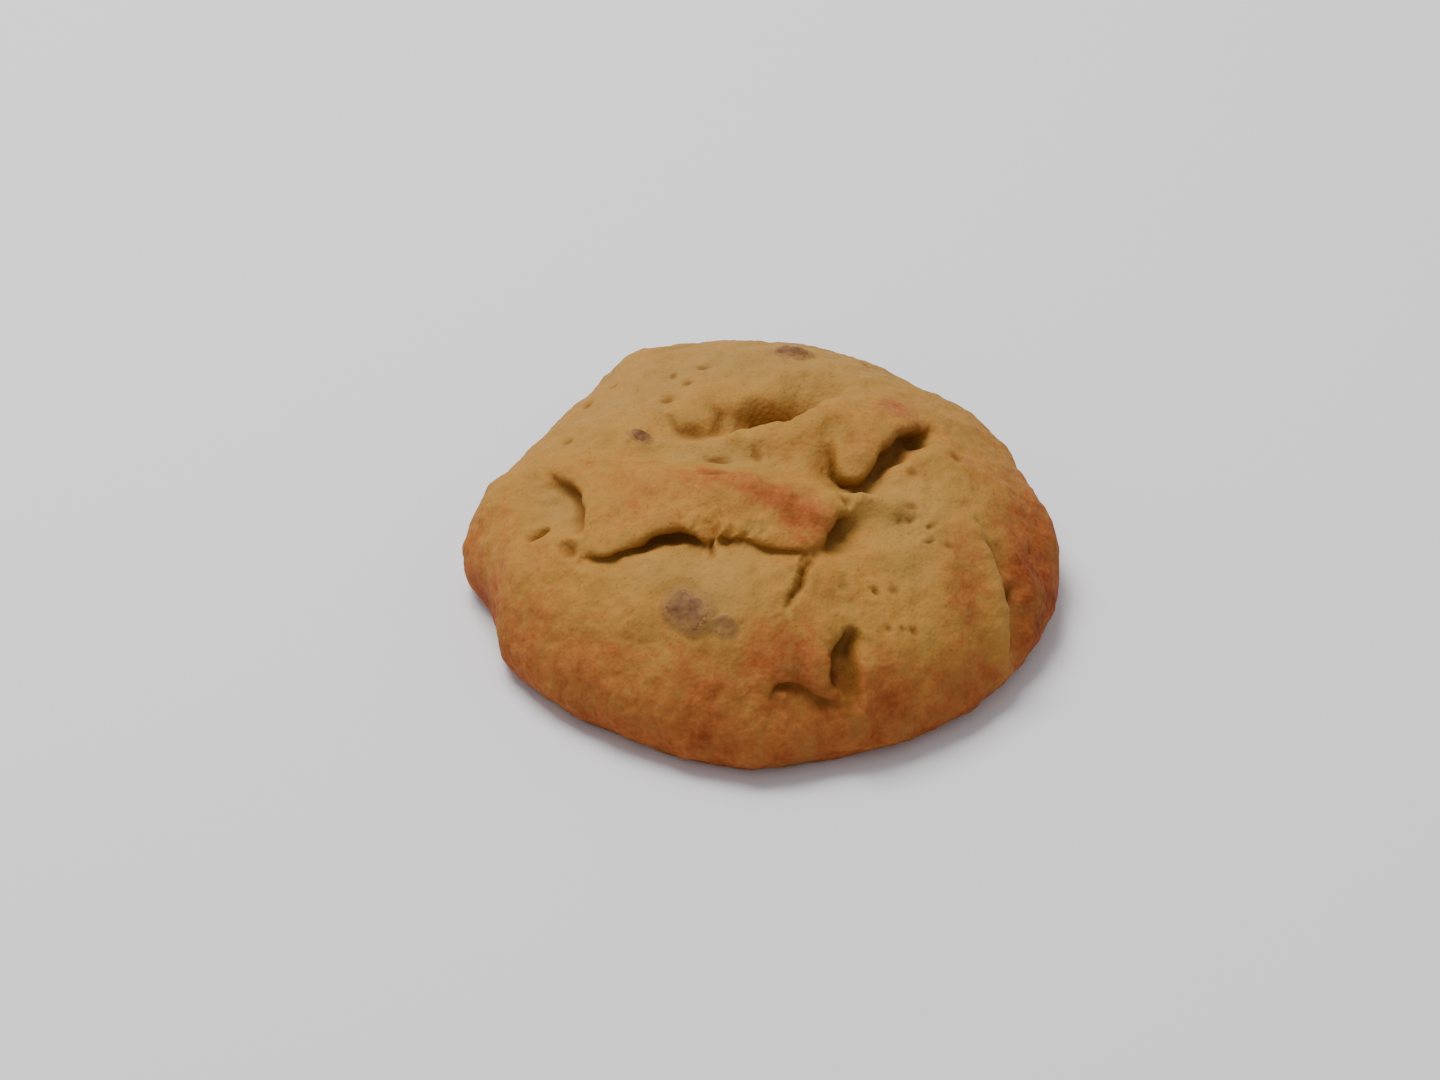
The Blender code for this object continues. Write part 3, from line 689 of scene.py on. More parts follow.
# Chocolate chips that show, nearly flush with the crust
CHIPS: tuple[ChipPlace, ...] = (
    ChipPlace(u=-9.0, v=-39.2, long=4.9, wide=3.8, turn=-8.0, rise=0.5),
    ChipPlace(u=-2.8, v=-42.0, long=2.7, wide=1.7, turn=-12.0, rise=0.3),
    ChipPlace(u=10.0, v=29.0, long=3.8, wide=2.6, turn=0.0, rise=0.5),
    ChipPlace(u=-17.9, v=2.1, long=2.8, wide=1.2, turn=-22.0, rise=0.3),
)

# How much of each chip a film of dough hides
FILMS: tuple[float, ...] = (0.15, 0.45, 0.0, 0.1)

# Strands of dough pulled out across the main crease
THREADS: tuple[Thread, ...] = (
    Thread(
        path=(
            (-3.4, -18.5, 0.0), (-3.0, -21.0, 0.8), (-3.1, -23.5, 1.0), (-3.0, -26.0, 1.0),
            (-3.2, -28.5, 0.0),
        ),
        rise=0.9, width=0.65,
    ),
    Thread(
        path=((-1.6, -18.5, 0.0), (-1.5, -21.0, 0.9), (-2.0, -23.5, 0.8), (-2.2, -25.5, 0.0)),
        rise=0.5, width=0.45,
    ),
    Thread(
        path=(
            (17.8, -15.2, 0.0), (20.4, -14.6, 1.0), (23.4, -14.2, 1.0), (26.4, -14.2, 0.6),
            (29.0, -14.8, 0.0),
        ),
        rise=0.5, width=1.1,
    ),
)

# Places where the crust is torn into crumbs
CRUMBLY: tuple[Patch, ...] = (
    Patch(u=-1.0, v=-24.0, long=6.0, wide=2.2, turn=0.0, strength=1.0),
    Patch(u=19.0, v=-14.6, long=3.0, wide=2.0, turn=0.0, strength=0.5),
    Patch(u=11.0, v=-32.0, long=5.5, wide=2.0, turn=75.0, strength=0.8),
    Patch(u=28.5, v=-16.2, long=2.5, wide=2.5, turn=-30.0, strength=0.35),
    Patch(u=17.0, v=-42.5, long=3.0, wide=2.5, turn=60.0, strength=0.5),
)

# Toasted parts of the crust, and three marked patches of painted shade and painted light
TOAST_AND_SHADING_PATCHES: tuple[Patch, ...] = (
    Patch(u=10.4, v=-18.8, long=6.6, wide=4.4, turn=-12.0, strength=0.32),
    Patch(u=11.5, v=-23.0, long=4.5, wide=3.2, turn=0.0, strength=0.2),
    Patch(u=-3.0, v=-12.4, long=5.0, wide=1.6, turn=-4.0, strength=0.22),
    Patch(u=1.0, v=-15.8, long=8.0, wide=2.6, turn=-12.0, strength=0.22),
    Patch(u=-4.0, v=-19.0, long=5.0, wide=3.0, turn=0.0, strength=0.1),
    Patch(u=26.0, v=9.0, long=9.0, wide=4.0, turn=62.0, strength=0.28),
    # Paler bridge of dough below the nose, also lightened as painted light on its shaded slope
    Patch(u=23.0, v=-14.4, long=6.5, wide=2.6, turn=4.0, strength=-0.3),
    Patch(u=26.0, v=-20.0, long=14.0, wide=9.0, turn=-60.0, strength=-0.18),
    Patch(u=-8.0, v=-54.0, long=11.0, wide=4.0, turn=0.0, strength=0.12),
    Patch(u=13.5, v=-47.5, long=3.5, wide=2.5, turn=0.0, strength=0.12),
    Patch(u=20.5, v=-3.0, long=5.0, wide=3.0, turn=60.0, strength=0.12),
    Patch(u=38.0, v=-24.0, long=10.0, wide=3.6, turn=-75.0, strength=0.36),
    Patch(u=49.0, v=-16.0, long=9.0, wide=3.2, turn=-76.0, strength=0.2),
    # Painted light on the shaded wall right of the crest
    Patch(u=49.0, v=-32.0, long=6.0, wide=3.5, turn=-60.0, strength=-0.3),
    Patch(u=9.0, v=-46.5, long=7.0, wide=4.0, turn=-20.0, strength=0.24),
    Patch(u=26.5, v=-49.0, long=7.0, wide=5.0, turn=60.0, strength=0.12),
    # Painted shade and browning at the bottom of the hollow behind the lip
    Patch(u=7.4, v=10.2, long=5.5, wide=1.8, turn=16.0, strength=0.4),
    Patch(u=-7.0, v=9.0, long=6.5, wide=5.0, turn=0.0, strength=0.12),
    Patch(u=2.0, v=-47.0, long=20.0, wide=5.0, turn=0.0, strength=0.15),
    Patch(u=53.0, v=-12.0, long=20.0, wide=7.0, turn=-75.0, strength=0.26),
    Patch(u=-47.0, v=-20.0, long=14.0, wide=5.0, turn=-70.0, strength=0.1),
)

# Parts that stayed pale
PALE: tuple[Patch, ...] = (
    Patch(u=43.2, v=-22.6, long=9.0, wide=1.3, turn=-66.0, strength=0.6),
    Patch(u=-22.0, v=14.0, long=18.0, wide=9.0, turn=20.0, strength=0.5),
    Patch(u=-36.5, v=-10.0, long=6.5, wide=4.0, turn=-60.0, strength=0.8),
    Patch(u=29.0, v=-12.0, long=14.0, wide=9.0, turn=-60.0, strength=0.4),
    Patch(u=-5.0, v=-4.0, long=13.0, wide=4.0, turn=-12.0, strength=0.7),
    Patch(u=6.0, v=26.0, long=20.0, wide=8.0, turn=0.0, strength=0.6),
    Patch(u=-8.0, v=-31.0, long=13.0, wide=4.0, turn=0.0, strength=0.5),
    Patch(u=-4.0, v=-38.0, long=6.0, wide=5.0, turn=0.0, strength=0.5),
)

# How toasted the crust is at its top, how much more at its rim, and the rim's fade in rim heights
TOP_TOAST = 0.3
RIM_TOAST = 0.39
RIM_FADE = (2.6, 0.2)

# How pale the crust stays towards the back, from where to where, and how much toast that takes away
BACK_PALE = 0.45
BACK_FROM = (-5.0, 35.0)
PALE_UNTOASTS = 0.35


@dataclass(frozen=True)
class Body:
    """The smooth dome under the crust. Lengths are in millimetres."""

    height: float = 31.0
    edge_height: float = 6.0
    foot_tuck: float = 7.0
    below_foot: float = 1.0
    crown_power: float = 2.1
    crown_shift: tuple[float, float] = (-2.5, 4.5)
    edge_radii: tuple[float, ...] = (
        56.5, 54.5, 54.5, 52.5, 52.5, 53.0, 52.0, 52.5, 51.0, 47.0, 45.5, 48.0,
        51.5, 48.5, 50.5, 50.5, 50.5, 52.0, 53.5, 53.0, 53.5, 55.0, 56.0, 57.0,
    )
    reach: Array = field(init=False, repr=False)
    share: Array = field(init=False, repr=False)
    level: Array = field(init=False, repr=False)

    def __post_init__(self) -> None:
        """Work out the section once: distance along the crust, share of the edge radius, height."""
        turn = np.linspace(0.0, math.pi / 2, SECTION_POINTS)
        power = 2.0 / self.crown_power
        mean = sum(self.edge_radii) / len(self.edge_radii)
        top_share = np.sin(turn) ** power
        top_level = self.edge_height + (self.height - self.edge_height) * np.cos(turn) ** power
        low_share = 1.0 - self.foot_tuck / mean * (1.0 - np.cos(turn[1:]))
        low_level = self.edge_height - (self.edge_height + self.below_foot) * np.sin(turn[1:])
        share = np.concatenate((top_share, low_share))
        level = np.concatenate((top_level, low_level))
        step = np.hypot(np.diff(share) * mean, np.diff(level))
        object.__setattr__(self, "reach", np.concatenate(((0.0,), np.cumsum(step))))
        object.__setattr__(self, "share", share)
        object.__setattr__(self, "level", level)

    @property
    def full_reach(self) -> float:
        """Distance along the crust from the crown to the end of the foot."""
        return float(self.reach[-1])

    def edge_radius(self, bearing: Array) -> Array:
        """Radius of the cookie's edge.

        Args:
            bearing: Bearings in radians, anticlockwise from the right.

        Returns:
            Radii in millimetres.
        """
        count = len(self.edge_radii)
        radii = np.array(self.edge_radii)
        place = (bearing / math.tau * count) % count
        index = np.floor(place).astype(int)
        around = tuple(radii[(index + k) % count] for k in (-1, 0, 1, 2))
        return curve_between(around, place - index)

    def point(self, at: Places) -> Array:
        """Points of the smooth dome.

        Args:
            at: Places on the map.

        Returns:
            Points in millimetres, one a row.
        """
        reach = np.hypot(at.u, at.v)
        bearing = np.arctan2(at.v, at.u)
        radius = np.interp(reach, self.reach, self.share) * self.edge_radius(bearing)
        level = np.interp(reach, self.reach, self.level)
        crown = np.clip((level - self.edge_height) / (self.height - self.edge_height), 0.0, 1.0)
        x = radius * np.cos(bearing) + self.crown_shift[0] * crown
        y = radius * np.sin(bearing) + self.crown_shift[1] * crown
        return np.stack((x, y, level), axis=-1)

    def normal(self, at: Places) -> Array:
        """Outward directions of the smooth dome.

        Args:
            at: Places on the map.

        Returns:
            Unit directions, one a row.
        """
        u, v = at
        across = self.point(Places(u + NORMAL_GAP, v)) - self.point(Places(u - NORMAL_GAP, v))
        along = self.point(Places(u, v + NORMAL_GAP)) - self.point(Places(u, v - NORMAL_GAP))
        normal = np.cross(across, along)
        return normal / np.linalg.norm(normal, axis=-1, keepdims=True)


@dataclass(frozen=True)
class Dough:
    """Unevenness of the dough, from broad swells down to crumbs. Lengths are in millimetres."""

    swell: float = 0.7
    swell_size: float = 13.0
    knob: float = 0.6
    knob_size: float = 5.5
    grain: float = 0.36
    grain_size: float = 2.4
    crumb: float = 0.23
    crumb_size: float = 1.25
    fine_crumb: float = 0.5
    fine_crumb_share: float = 0.55
    evenly: float = 0.6
    patchy: float = 0.4
    patch_share: float = 6.0
    torn: float = 3.0
    wander: float = 1.1
    wander_size: float = 4.5
    settle_rounds: int = 6

    def unevenness(self, points: Array) -> Array:
        """Uneven height at points of the dome, as the solid has it.

        Args:
            points: Points in millimetres, one a row.

        Returns:
            Heights in millimetres.
        """
        height = np.zeros(len(points))
        for amount, size, place in (
            (self.swell, self.swell_size, Vector()),
            (self.knob, self.knob_size, KNOB_PLACE),
            (self.grain, self.grain_size, GRAIN_PLACE),
        ):
            height += amount * noise_at(points, size, place)
        return height

    def crumbs(self, points: Array, torn: Array) -> Array:
        """Finer height of the crumbs, which only the visible crust has.

        Args:
            points: Points in millimetres, one a row.
            torn: How torn the crust is at each, from 0 to 1.

        Returns:
            Heights in millimetres.
        """
        coarse = noise_at(points, self.crumb_size, COARSE_CRUMB_PLACE)
        fine = noise_at(points, self.fine_crumb_share * self.crumb_size, FINE_CRUMB_PLACE)
        patches = noise_at(points, self.patch_share * self.crumb_size, CRUMB_PATCH_PLACE)
        amount = self.evenly + self.patchy * patches + self.torn * torn
        return self.crumb * amount * (coarse + self.fine_crumb * fine)

    def wandered(self, at: Places) -> Places:
        """Nudge places on the map, so that folds and cracks run unevenly.

        Args:
            at: Places on the map.

        Returns:
            The nudged places.
        """
        spots = [Vector((a / self.wander_size, b / self.wander_size, 0.0)) for a, b in zip(at.u, at.v)]
        along = np.array([noise.noise(spot) for spot in spots])
        across = np.array([noise.noise(spot + WANDER_PLACE) for spot in spots])
        return Places(at.u + self.wander * along, at.v + self.wander * across)

    def settled(self, wanted: Places) -> Places:
        """Find the places that are nudged to given ones.

        Args:
            wanted: Wanted places after the nudge.

        Returns:
            The places before the nudge.
        """
        u, v = wanted.u.copy(), wanted.v.copy()
        for _ in range(self.settle_rounds):
            at = self.wandered(Places(u, v))
            u += wanted.u - at.u
            v += wanted.v - at.v
        return Places(u, v)


@dataclass
class Crust:
    """The folded crust, one closed mesh down to its flat underside. Lengths are in millimetres."""

    body: Body = field(default_factory=Body)
    dough: Dough = field(default_factory=Dough)
    step: float = 0.62
    fine_step: float = 0.34
    fine_reach: tuple[float, float] = (1.6, 3.6)
    crack_gap: float = 0.8
    longest_edge: float = 1.35
    split_rounds: int = 3
    rim_height: float = 9.0
    moved: tuple[float, float] = (0.0, 0.0)

    def sheet(self) -> tuple[list[tuple[float, float]], list[tuple[int, int, int]]]:
        """Flat round sheet of the map: rings of points around the crown.

        Returns:
            The points (u, v), and the triangles between them.
        """
        rings = math.ceil(self.body.full_reach / self.step)
        points = [(0.0, 0.0)]
        for ring in range(1, rings + 1):
            reach = self.body.full_reach * ring / rings
            for spot in range(6 * ring):
                bearing = math.tau * spot / (6 * ring)
                points.append((reach * math.cos(bearing), reach * math.sin(bearing)))
        faces = []
        for ring in range(rings):
            inner = 1 + 3 * ring * (ring - 1) if ring else 0
            outer = 1 + 3 * ring * (ring + 1)
            inner_count = max(6 * ring, 1)
            outer_count = 6 * (ring + 1)
            for sector in range(6):
                for spot in range(ring + 1):
                    near = inner + (sector * ring + spot) % inner_count
                    far = outer + (sector * (ring + 1) + spot) % outer_count
                    far_next = outer + (sector * (ring + 1) + spot + 1) % outer_count
                    faces.append((near, far, far_next))
                    if spot < ring:
                        near_next = inner + (sector * ring + spot + 1) % inner_count
                        faces.append((near, far_next, near_next))
        return points, faces

    def spacing(self, at: Places) -> Array:
        """Spacing that the sheet's points want: fine beside folds and cracks.

        Args:
            at: Places on the map.

        Returns:
            Spacings in millimetres.
        """
        nearest = np.full(len(at.u), FAR_AWAY)
        for items, gap in ((FOLDS, 0.0), (CRACKS, self.crack_gap)):
            for item in items:
                nearest = np.minimum(nearest, np.abs(Beside.path(at, item.path).away) + gap)
        return self.fine_step + (self.step - self.fine_step) * smooth_step(*self.fine_reach, nearest)

    def refine(self, sheet: bmesh.types.BMesh) -> None:
        """Split the sheet's edges until each is about as long as the spacing wanted at its middle.

        Args:
            sheet: The flat sheet, changed in place.
        """
        for _ in range(self.split_rounds):
            ends = np.array([[*edge.verts[0].co.xy, *edge.verts[1].co.xy] for edge in sheet.edges])
            length = np.hypot(ends[:, 0] - ends[:, 2], ends[:, 1] - ends[:, 3])
            middle = Places((ends[:, 0] + ends[:, 2]) / 2, (ends[:, 1] + ends[:, 3]) / 2)
            long = np.nonzero(length > self.longest_edge * self.spacing(middle))[0]
            if not len(long):
                break
            sheet.edges.ensure_lookup_table()
            bmesh.ops.subdivide_edges(sheet, edges=[sheet.edges[i] for i in long], cuts=1)
            bmesh.ops.triangulate(sheet, faces=[face for face in sheet.faces if len(face.verts) > 3])

    def relief(self, at: Places) -> tuple[Array, Array, Array, Array]:
        """Shift, height and painted crease shade of the crust.

        Args:
            at: Places on the map.

        Returns:
            Shift to the right, shift to the back, height, and painted shade of the creases from 0 to 1.
        """
        at = self.dough.wandered(at)
        shift_u, shift_v, lift, crease_shade = (np.zeros(len(at.u)) for _ in range(4))
        for lobe in LOBES:
            lift += lobe.relief(at)
        for fold in FOLDS:
            lean_u, lean_v, rise, depth = fold.relief(at)
            shift_u += lean_u
            shift_v += lean_v
            lift += rise
            # Each fold paints shade into its crease
            crease_shade = np.maximum(crease_shade, depth)
        for dent in (*CRACKS, *PORES):
            rise, depth = dent.relief(at)
            lift += rise
            # Each crack and pore paints shade into its groove
            crease_shade = np.maximum(crease_shade, DENT_CREASE_SHADE * depth)
        for raised in (*THREADS, *CHIPS):
            lift += raised.relief(at)
        return shift_u, shift_v, lift, crease_shade

    def surface(self, at: Places) -> tuple[Array, Array]:
        """Points of the finished crust.

        Args:
            at: Places on the map.

        Returns:
            Points in millimetres, one a row, and painted shade of the creases from 0 to 1.
        """
        shift_u, shift_v, lift, crease_shade = self.relief(at)
        smooth = self.body.point(at)
        torn = np.zeros(len(at.u))
        for patch in CRUMBLY:
            torn = np.maximum(torn, patch.share(at))
        lift += self.dough.unevenness(smooth) + self.dough.crumbs(smooth, torn)
        full = self.body.full_reach
        lift *= smooth_step(full - FOOT_FADE[0], full - FOOT_FADE[1], np.hypot(at.u, at.v))
        bent = Places(at.u + shift_u, at.v + shift_v)
        return self.body.point(bent) + self.body.normal(bent) * lift[:, None], crease_shade

    def masks(self, at: Places, points: Array, crease_shade: Array) -> dict[Mask, Array]:
        """Values that the finish reads from the mesh.

        Args:
            at: Places on the map.
            points: Points of the finished crust, in millimetres.
            crease_shade: Painted shade of the creases at each point.

        Returns:
            One array from 0 to 1 for each mask.
        """
        rim = smooth_step(RIM_FADE[0] * self.rim_height, RIM_FADE[1] * self.rim_height, points[:, 2])
        toast_and_shading = TOP_TOAST + RIM_TOAST * rim
        # Patches of toast, and three marked ones of painted shade and painted light
        for patch in TOAST_AND_SHADING_PATCHES:
            toast_and_shading += patch.share(at)
        pale = BACK_PALE * smooth_step(*BACK_FROM, at.v) * (1.0 - rim)
        for patch in PALE:
            pale += patch.share(at)
        stain = np.zeros(len(at.u))
        for chip in CHIPS:
            stain = np.maximum(stain, smooth_step(*STAIN_EDGE, chip.nearness(at)))
        return {
            Mask.TOAST_AND_SHADING: np.clip(toast_and_shading - PALE_UNTOASTS * pale, 0.0, 1.0),
            Mask.CREASE_SHADE: crease_shade,
            Mask.STAIN: stain,
            Mask.PALE: np.clip(pale, 0.0, 1.0),
        }

    def build(self) -> bpy.types.Object:
        """Make the crust as one closed mesh with its masks.

        Returns:
            The object, linked to the scene.
        """
        points, faces = self.sheet()
        mesh = bpy.data.meshes.new("cookie_crust")
        mesh.from_pydata([(u, v, 0.0) for u, v in points], [], faces)
        work = bmesh.new()
        work.from_mesh(mesh)
        self.refine(work)
        flat = np.array([vert.co.xy for vert in work.verts])
        at = Places(flat[:, 0], flat[:, 1])
        crust, crease_shade = self.surface(at)
        for mask, values in self.masks(at, crust, crease_shade).items():
            layer = work.verts.layers.float.new(mask.value)
            for vert, value in zip(work.verts, values):
                vert[layer] = value
        for vert, point in zip(work.verts, crust * MM):
            vert.co = point
        self.close_foot(work)
        self.centre(work)
        for face in work.faces:
            face.smooth = True
        work.to_mesh(mesh)
        work.free()
        return placed("cookie_crust", mesh)

    def centre(self, work: bmesh.types.BMesh) -> None:
        """Move the crust over the origin, and keep how far it moved for what is set into it.

        Args:
            work: The crust, in metres, changed in place.
        """
        places = np.array([vert.co for vert in work.verts])
        middle = (places.min(axis=0) + places.max(axis=0)) / 2
        self.moved = (float(middle[0]), float(middle[1]))
        for vert in work.verts:
            vert.co -= Vector((*self.moved, 0.0))

    def close_foot(self, work: bmesh.types.BMesh) -> None:
        """Cut the crust flat at the table and close it there.

        Args:
            work: The crust, in metres, changed in place.
        """
        everything = work.verts[:] + work.edges[:] + work.faces[:]
        cut = bmesh.ops.bisect_plane(
            work, geom=everything, plane_co=(0, 0, 0), plane_no=(0, 0, -1), clear_outer=True
        )
        rim = [item for item in cut["geom_cut"] if isinstance(item, bmesh.types.BMEdge)]
        closed = bmesh.ops.contextual_create(work, geom=rim)
        bmesh.ops.triangulate(work, faces=closed["faces"])
        bmesh.ops.recalc_face_normals(work, faces=work.faces[:])


def placed(name: str, data: bpy.types.ID) -> bpy.types.Object:
    """Make an object and link it to the scene.

    Args:
        name: The object's name.
        data: Its mesh, lamp or camera.

    Returns:
        The object.
    """
    made = bpy.data.objects.new(name, data)
    bpy.context.scene.collection.objects.link(made)
    return made


class Layer(NamedTuple):
    """One layer of noise in a finish: bumps a metre, octaves, and strength of the finer ones."""

    scale: float
    detail: float
    rough: float


@dataclass
class Nodes:
    """Short ways to place and join shader nodes in one tree."""

    tree: bpy.types.NodeTree

    def add(self, kind: str, **settings: object) -> bpy.types.Node:
        """Place a node.

        Args:
            kind: Node type as Blender names it.
            **settings: Properties of the node to set.

        Returns:
            The node.
        """
        node = self.tree.nodes.new(kind)
        for name, value in settings.items():
            setattr(node, name, value)
        return node

    def join(self, start: Socket, end: Socket) -> None:
        """Link one socket to another."""
        self.tree.links.new(start, end)

    def feed(self, node: bpy.types.Node, socket: str | int, value: Socket | float | tuple) -> None:
        """Give an input a link or a value.

        Args:
            node: The node.
            socket: Name or number of its input.
            value: A socket to link from, or a value to set.
        """
        if isinstance(value, Socket):
            self.join(value, node.inputs[socket])
        else:
            node.inputs[socket].default_value = value

    def math(
        self, operation: str, first: Socket | float, second: Socket | float, clamp: bool = False
    ) -> Socket:
        """Place a Math node.

        Args:
            operation: Its operation.
            first: First value or socket.
            second: Second value or socket.
            clamp: Keep the result from 0 to 1.

        Returns:
            Its output.
        """
        node = self.add("ShaderNodeMath", operation=operation, use_clamp=clamp)
        self.feed(node, 0, first)
        self.feed(node, 1, second)
        return node.outputs[0]

    def spread(
        self, value: Socket, low: float, high: float, to_low: float = 0.0, to_high: float = 1.0
    ) -> Socket:
        """Place a clamped Map Range node.

        Args:
            value: Socket to map.
            low: Lowest value taken in.
            high: Highest value taken in.
            to_low: Result at the lowest.
            to_high: Result at the highest.

        Returns:
            Its output.
        """
        node = self.add("ShaderNodeMapRange", clamp=True)
        ends = {"From Min": low, "From Max": high, "To Min": to_low, "To Max": to_high}
        for socket, number in ends.items():
            node.inputs[socket].default_value = number
        self.feed(node, "Value", value)
        return node.outputs["Result"]

    def noise(self, where: Socket, layer: Layer) -> Socket:
        """Place a Noise Texture node.

        Args:
            where: Coordinates.
            layer: The layer's scale, detail and roughness.

        Returns:
            Its value output.
        """
        node = self.add("ShaderNodeTexNoise")
        self.join(where, node.inputs["Vector"])
        for socket, number in zip(("Scale", "Detail", "Roughness"), layer):
            node.inputs[socket].default_value = number
        return node.outputs["Fac"]

    def swing(self, value: Socket, amount: float) -> Socket:
        """Turn noise around one half into noise around nothing, times an amount."""
        return self.math("MULTIPLY", self.math("SUBTRACT", value, 0.5), amount)

    def blend(self, share: Socket, first: Socket | Colour, second: Socket | Colour) -> Socket:
        """Place a colour Mix node.

        Args:
            share: Share of the second colour.
            first: First colour or socket.
            second: Second colour or socket.

        Returns:
            Its colour output.
        """
        node = self.add("ShaderNodeMix", data_type="RGBA")
        self.feed(node, 0, share)
        for socket, colour in ((6, first), (7, second)):
            self.feed(node, socket, colour if isinstance(colour, Socket) else (*colour, 1.0))
        return node.outputs[2]

    def ramp(self, value: Socket, stops: tuple[tuple[float, Colour], ...]) -> Socket:
        """Place a Color Ramp node.

        Args:
            value: Value to colour.
            stops: Places from 0 to 1 with their colours.

        Returns:
            Its colour output.
        """
        node = self.add("ShaderNodeValToRGB")
        elements = node.color_ramp.elements
        while len(elements) < len(stops):
            elements.new(0.5)
        for element, (place, colour) in zip(elements, stops):
            element.position = place
            element.color = (*colour, 1.0)
        self.join(value, node.inputs["Fac"])
        return node.outputs["Color"]

    def mask(self, mask: Mask) -> Socket:
        """Read one of the mesh's masks."""
        node = self.add("ShaderNodeAttribute", attribute_type="GEOMETRY", attribute_name=mask.value)
        return node.outputs["Fac"]

    def relief(self, shader: bpy.types.Node, height: Socket, strength: float, distance: float) -> None:
        """Give a shader fine relief through a Bump node.

        Args:
            shader: The shader.
            height: Height from 0 to 1.
            strength: Strength of the relief.
            distance: Its depth in metres.
        """
        node = self.add("ShaderNodeBump")
        node.inputs["Strength"].default_value = strength
        node.inputs["Distance"].default_value = distance
        self.join(height, node.inputs["Height"])
        self.join(node.outputs["Normal"], shader.inputs["Normal"])


def plain_material(name: str) -> tuple[bpy.types.Material, Nodes, bpy.types.Node]:
    """Make a material with nothing set yet.

    Args:
        name: Its name.

    Returns:
        The material, its nodes, and its shader.
    """
    material = bpy.data.materials.new(name)
    material.use_nodes = True
    return material, Nodes(material.node_tree), material.node_tree.nodes["Principled BSDF"]


@dataclass(frozen=True)
class CrumbGroup:
    """Node group of fine crumb relief and flecks, used by the crust and by the chocolate."""

    coarse: Layer = Layer(900.0, 3.0, 0.6)
    cells: float = 1100.0
    cell_edge: float = 0.75
    coarse_share: float = 0.7
    flecks: Layer = Layer(1500.0, 1.0, 0.5)
    fleck_edge: tuple[float, float] = (0.62, 0.74)

    def build(self) -> bpy.types.ShaderNodeTree:
        """Make the group.

        Returns:
            The group, with inputs Vector and Size and outputs Height and Flecks.
        """
        group = bpy.data.node_groups.new("crumb", "ShaderNodeTree")
        group.interface.new_socket("Vector", in_out="INPUT", socket_type="NodeSocketVector")
        size = group.interface.new_socket("Size", in_out="INPUT", socket_type="NodeSocketFloat")
        size.default_value = 1.0
        for name in ("Height", "Flecks"):
            group.interface.new_socket(name, in_out="OUTPUT", socket_type="NodeSocketFloat")
        nodes = Nodes(group)
        given = nodes.add("NodeGroupInput")
        result = nodes.add("NodeGroupOutput")
        scaled = nodes.add("ShaderNodeVectorMath", operation="SCALE")
        nodes.join(given.outputs["Vector"], scaled.inputs[0])
        nodes.join(given.outputs["Size"], scaled.inputs["Scale"])
        where = scaled.outputs["Vector"]
        cells = nodes.add("ShaderNodeTexVoronoi", feature="F1")
        nodes.join(where, cells.inputs["Vector"])
        cells.inputs["Scale"].default_value = self.cells
        round_crumbs = nodes.spread(cells.outputs["Distance"], 0.0, self.cell_edge, 1.0, 0.0)
        coarse = nodes.math("MULTIPLY", nodes.noise(where, self.coarse), self.coarse_share)
        height = nodes.math("ADD", coarse, nodes.math("MULTIPLY", round_crumbs, 1.0 - self.coarse_share))
        nodes.join(height, result.inputs["Height"])
        nodes.join(nodes.spread(nodes.noise(where, self.flecks), *self.fleck_edge), result.inputs["Flecks"])
        return group


